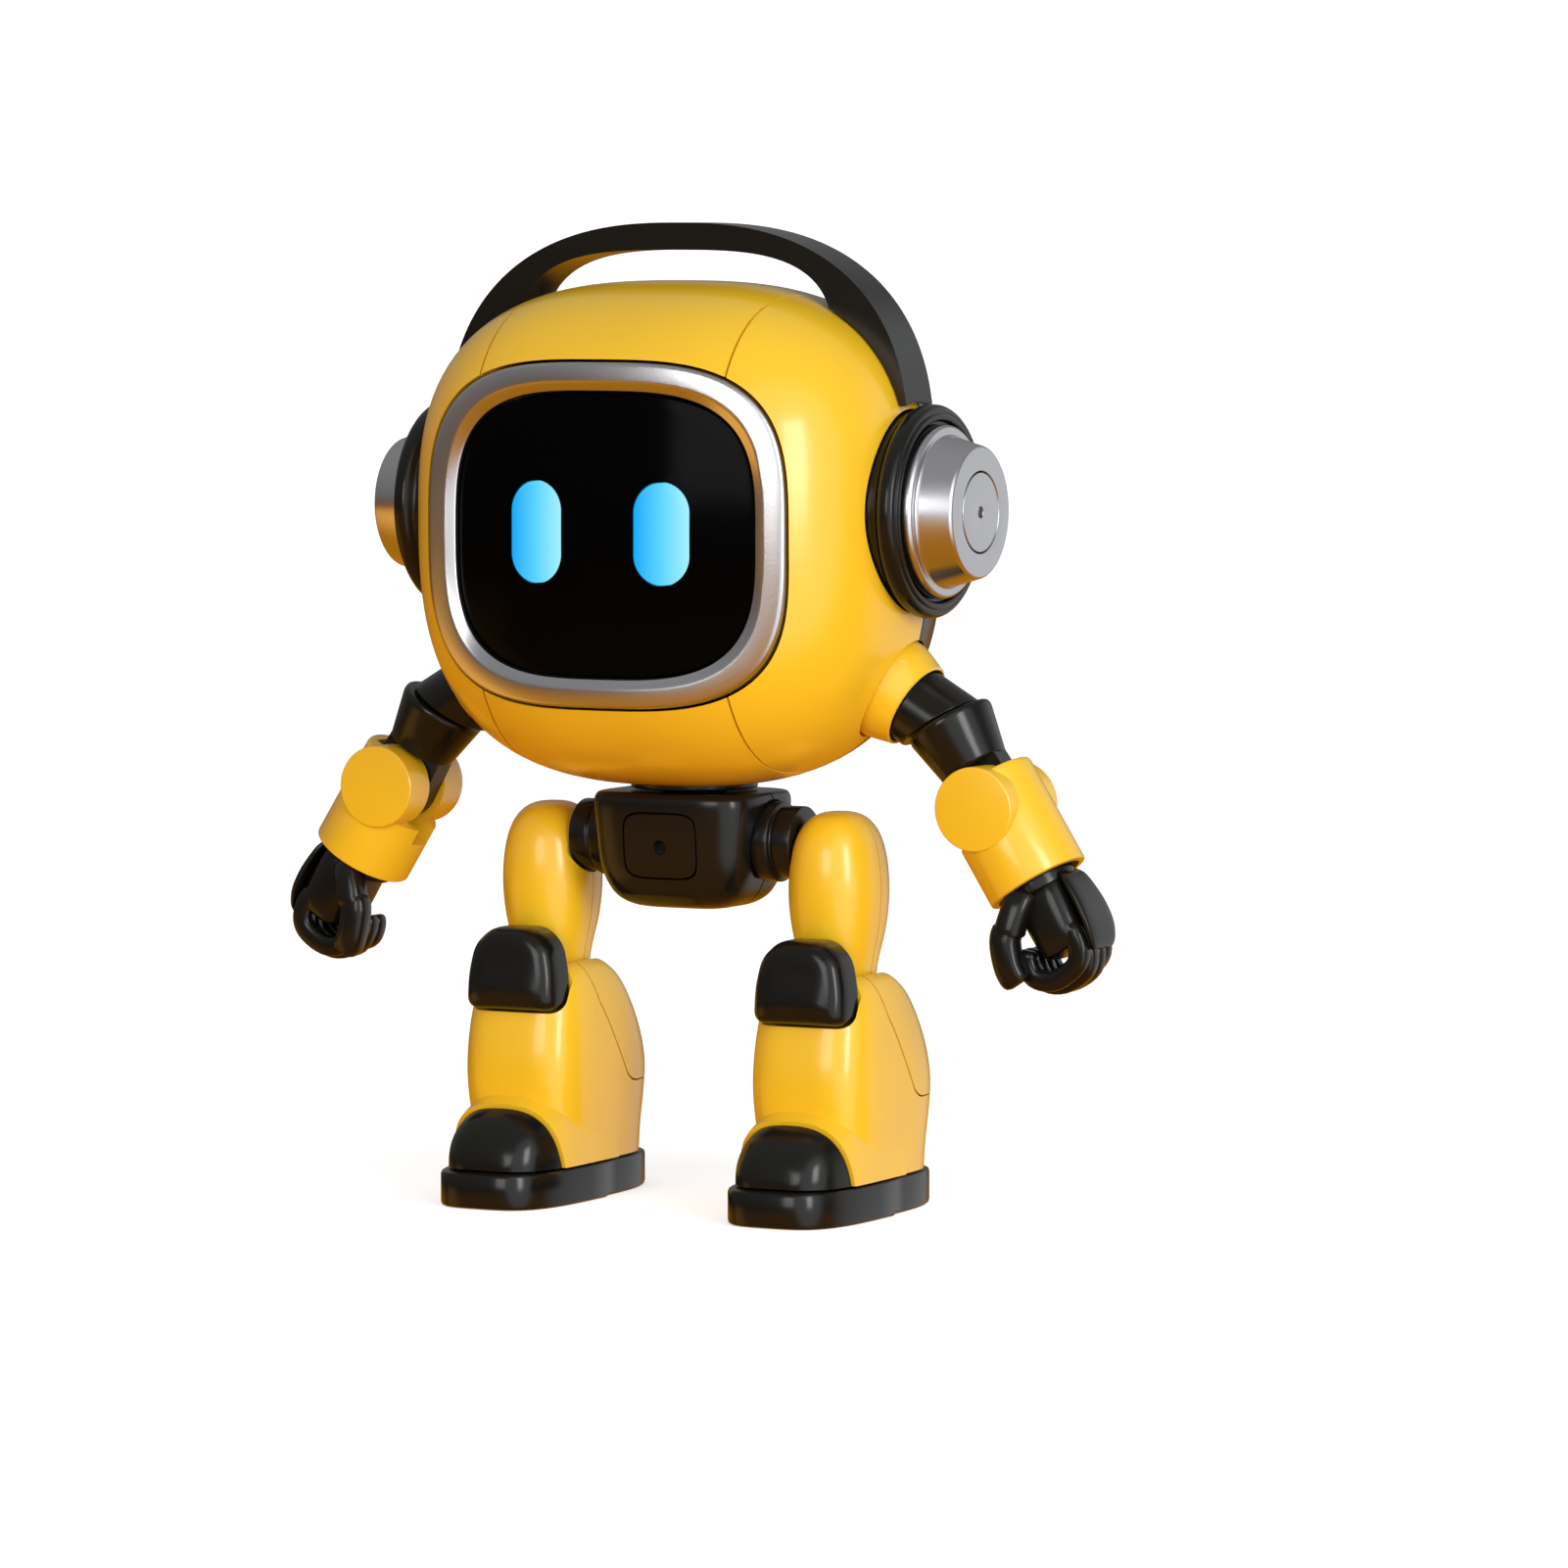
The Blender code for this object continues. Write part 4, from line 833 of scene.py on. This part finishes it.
def toe_plane(shift):
    """Tilted plane between the toe cap and the boot."""
    normal = Vector((0, -7.9, -2.5)).normalized()
    return Vector((LEG_X, -11.6, BOOT_BOTTOM)) + normal * shift, normal


def pad_outline():
    """Arched outline of the knee pad, straight at its lower edge."""
    corners = [(0.0, 25.6), (6.7, 25.6), (6.6, 30.5), (5.7, 34.4), (3.2, 36.6), (0.0, 36.6)]
    half = rounded(corners, 1.8, 8)
    return half + [(-x, z) for x, z in half[-2:0:-1]]


def pad_solid(grow=0.0):
    """Knee pad with a crowned front face, leaning forwards a little at its lower edge."""
    rings = []
    outline = pad_outline()
    for y, size in ((-12.75, 0.45), (-12.7, 0.66), (-12.5, 0.8), (-12.1, 0.9), (-11.5, 0.96),
                    (-10.8, 0.99), (-10.0, 1.0), (-7.3, 1.0)):
        stretch_x, stretch_z = size + grow / 6.3, size + grow / 5.4
        step = -grow if y < -10 else grow
        rings.append([(LEG_X + x * stretch_x, y + step + (z - PAD_MIDDLE_Z) * 0.06,
                       PAD_MIDDLE_Z + (z - PAD_MIDDLE_Z) * stretch_z) for x, z in outline])
    return loft(rings)


def calf_region(shift):
    """Everything behind the calf's seam, whose line is in (y, z)."""
    line = [(-7.4, 34.0), (-0.9, 24.9), (3.3, 18.3), (4.9, 15.9), (6.7, 15.0), (FAR, 14.8),
            (FAR, 34.0)]
    line = rounded(line, 1.6, 6)
    rings = []
    for x in (0, FAR):
        rings.append([(x, y + (shift if y < FAR else 0), z + (shift if z < 33 else 5))
                      for y, z in line])
    return loft(rings)


def build_boot():
    knee = ((0, 0, KNEE_Z), (1, 0, 0))
    boot = make_object("boot", shin_solid())
    join(boot, foot_solid())
    cut(boot, rod(POCKET_R, LEG_X - POCKET_HALF, LEG_X + POCKET_HALF, *knee, 64),
        block((LEG_X - 5.5, -6.2, KNEE_Z), (LEG_X + 5.5, 8.6, FAR)), pad_solid(GAP))
    calf = keep(duplicate(boot, "calf"), calf_region(GAP / 3))
    install_pair(calf, "calf_panel", soften=0.15)
    cut(boot, calf_region(-GAP / 3))
    point, normal = toe_plane(-GAP / 3)
    cut(boot, slice_off(block((0, -FAR, 0), (FAR, -8.0, FAR)), point, -normal))
    install_pair(boot, "boot_shell", soften=0.15)
    point, normal = toe_plane(GAP / 3)
    cap = make_object("cap", slice_off(foot_solid(0.4), point, -normal))
    install_pair(cap, "toe_cap", soften=0.15)
    install_pair(make_object("pad", pad_solid()), "knee_pad", soften=0.2)


def build_sole():
    """The outline runs round the toe and then round the slightly narrower heel."""
    outline = []
    steps = 48
    for i in range(steps + 1):
        angle = math.pi * i / steps
        cos, sin = math.cos(angle), max(math.sin(angle), 0.0)
        outline.append((8.8 * math.copysign(abs(cos) ** (2 / 3.6), cos), -20.0 * sin ** (2 / 3.6)))
    for i in range(1, steps + 1):
        angle = math.pi * (i - 0.5) / steps
        cos, sin = math.cos(angle), math.sin(angle)
        outline.append((-8.1 * math.copysign(abs(cos) ** (2 / 3.0), cos), 18.6 * sin ** (2 / 3.0)))
    rings = []
    for z, size in ((0.0, 0.95), (0.05, 0.97), (0.25, 0.992), (0.6, 1.0), (SOLE_TOP - 0.5, 1.0),
                    (SOLE_TOP - 0.15, 0.99), (SOLE_TOP, 0.97)):
        rings.append([(LEG_X + x * size, y * size - 1.0, z) for x, y in outline])
    install_pair(make_object("sole", loft(rings)), "sole")


# ---------------------------------------------------------------- studio

def area_light(name, place, aim, size, power, colour=(1, 1, 1)):
    data = bpy.data.lights.new(name, "AREA")
    data.shape = "RECTANGLE"
    data.size, data.size_y = size
    data.energy = power
    data.color = colour
    lamp = bpy.data.objects.new(name, data)
    bpy.context.collection.objects.link(lamp)
    lamp.location = place
    lamp.rotation_euler = (Vector(aim) - Vector(place)).to_track_quat("-Z", "Y").to_euler()


def sky_world():
    """Soft room light: white overhead and to the toy's left, warm and dim from below."""
    world = bpy.data.worlds.new("studio")
    bpy.context.scene.world = world
    world.use_nodes = True
    nodes, links = world.node_tree.nodes, world.node_tree.links
    backdrop = nodes["Background"]
    place = nodes.new("ShaderNodeTexCoord")
    split = nodes.new("ShaderNodeSeparateXYZ")
    links.new(place.outputs["Generated"], split.inputs["Vector"])
    ramp = nodes.new("ShaderNodeValToRGB")
    stops = ((0.0, (0.55, 0.21, 0.01)), (0.40, (0.66, 0.26, 0.01)), (0.475, (0.10, 0.06, 0.03)),
             (0.56, (0.22, 0.22, 0.22)), (1.0, (0.40, 0.40, 0.40)))
    ramp.color_ramp.elements[0].color = (*stops[0][1], 1)
    ramp.color_ramp.elements[1].color = (*stops[-1][1], 1)
    for position, colour in stops[1:-1]:
        ramp.color_ramp.elements.new(position).color = (*colour, 1)
    height = nodes.new("ShaderNodeMapRange")
    height.inputs["From Min"].default_value = -1.0
    links.new(split.outputs["Z"], height.inputs["Value"])
    links.new(height.outputs["Result"], ramp.inputs["Fac"])
    colour = ramp.outputs["Color"]
    windows = (((0.76, -0.60, 0.16), 0.66, 0.84, 1.35), ((0.50, 0.86, 0.0), 0.78, 0.95, 0.8))
    for towards, edge, core, bright in windows:
        facing = nodes.new("ShaderNodeVectorMath")
        facing.operation = "DOT_PRODUCT"
        facing.inputs[1].default_value = Vector(towards).normalized()
        links.new(place.outputs["Generated"], facing.inputs[0])
        window = nodes.new("ShaderNodeMapRange")
        window.interpolation_type = "SMOOTHSTEP"
        window.inputs["From Min"].default_value = edge
        window.inputs["From Max"].default_value = core
        links.new(facing.outputs["Value"], window.inputs["Value"])
        blend = nodes.new("ShaderNodeMix")
        blend.data_type = "RGBA"
        blend.inputs["B"].default_value = (bright, bright * 1.02, bright * 1.04, 1)
        links.new(window.outputs["Result"], blend.inputs["Factor"])
        links.new(colour, blend.inputs["A"])
        colour = blend.outputs["Result"]
    links.new(colour, backdrop.inputs["Color"])
    backdrop.inputs["Strength"].default_value = 1.0


def build_studio():
    """White sweep behind and below, soft boxes at the toy's left and front, and a small warm fill
    low at its right.
    """
    bend = [math.radians(angle) for angle in range(0, 91, 5)]
    profile = [(-1.6, 0.0), (1.0, 0.0)]
    profile += [(1.0 + 0.7 * math.sin(t), 0.7 - 0.7 * math.cos(t)) for t in bend[1:]]
    profile += [(1.7, 2.4)]
    bm = bmesh.new()
    rows = []
    turn = Matrix.Rotation(math.radians(STUDIO_TURN), 3, "Z")
    for x in (-2.4, 2.4):
        rows.append([bm.verts.new(turn @ Vector((x, y, z)) / MM) for y, z in profile])
    for i in range(len(profile) - 1):
        bm.faces.new((rows[0][i], rows[1][i], rows[1][i + 1], rows[0][i + 1]))
    bmesh.ops.recalc_face_normals(bm, faces=bm.faces)
    floor = make_object("floor", bm, False)
    floor.data.shade_smooth()
    paper = node_material("studio_floor", (0.9, 0.9, 0.9), 0.9, tint=0.005)
    shader = paper.node_tree.nodes["Principled BSDF"]
    shader.inputs["Emission Color"].default_value = (1, 1, 1, 1)
    shader.inputs["Emission Strength"].default_value = 0.62
    floor.data.materials.append(paper)
    floor.visible_glossy = False
    floor.visible_diffuse = False
    sky_world()
    area_light("key", (0.80, -0.50, 0.30), AIM, (0.26, 0.5), 3.6)
    area_light("front", (-0.05, -1.0, 0.30), AIM, (0.4, 0.4), 2.2)
    area_light("fill", (-0.7, -0.4, -0.25), (0, 0, 0.08), (0.4, 0.5), 0.5, (1.0, 0.55, 0.15))


def build_camera():
    """Long lens, a little above the toy's middle and turned towards its left side."""
    azimuth, distance, height = math.radians(28.2), 1.028, 0.129
    heading, pitch = math.radians(STUDIO_TURN), math.radians(4.08)
    data = bpy.data.cameras.new("camera")
    data.lens = 178.8
    data.sensor_width = 36.0
    data.clip_start, data.clip_end = 0.05, 50.0
    camera = bpy.data.objects.new("camera", data)
    bpy.context.collection.objects.link(camera)
    camera.location = (distance * math.sin(azimuth), -distance * math.cos(azimuth), height)
    camera.rotation_euler = (math.pi / 2 - pitch, 0.0, heading)
    bpy.context.scene.camera = camera


build_head()
build_face()
build_headphones()
build_arm()
build_hand()
build_pelvis()
build_thigh()
build_boot()
build_sole()
for node, obj in frame["nodes"].items():
    if obj.material_slots:
        obj.material_slots[0].material = MATERIALS[SLOT_OF[node]]
    else:
        obj.data.materials.append(MATERIALS[SLOT_OF[node]])
build_studio()
build_camera()
bpy.context.scene.view_settings.view_transform = "Standard"
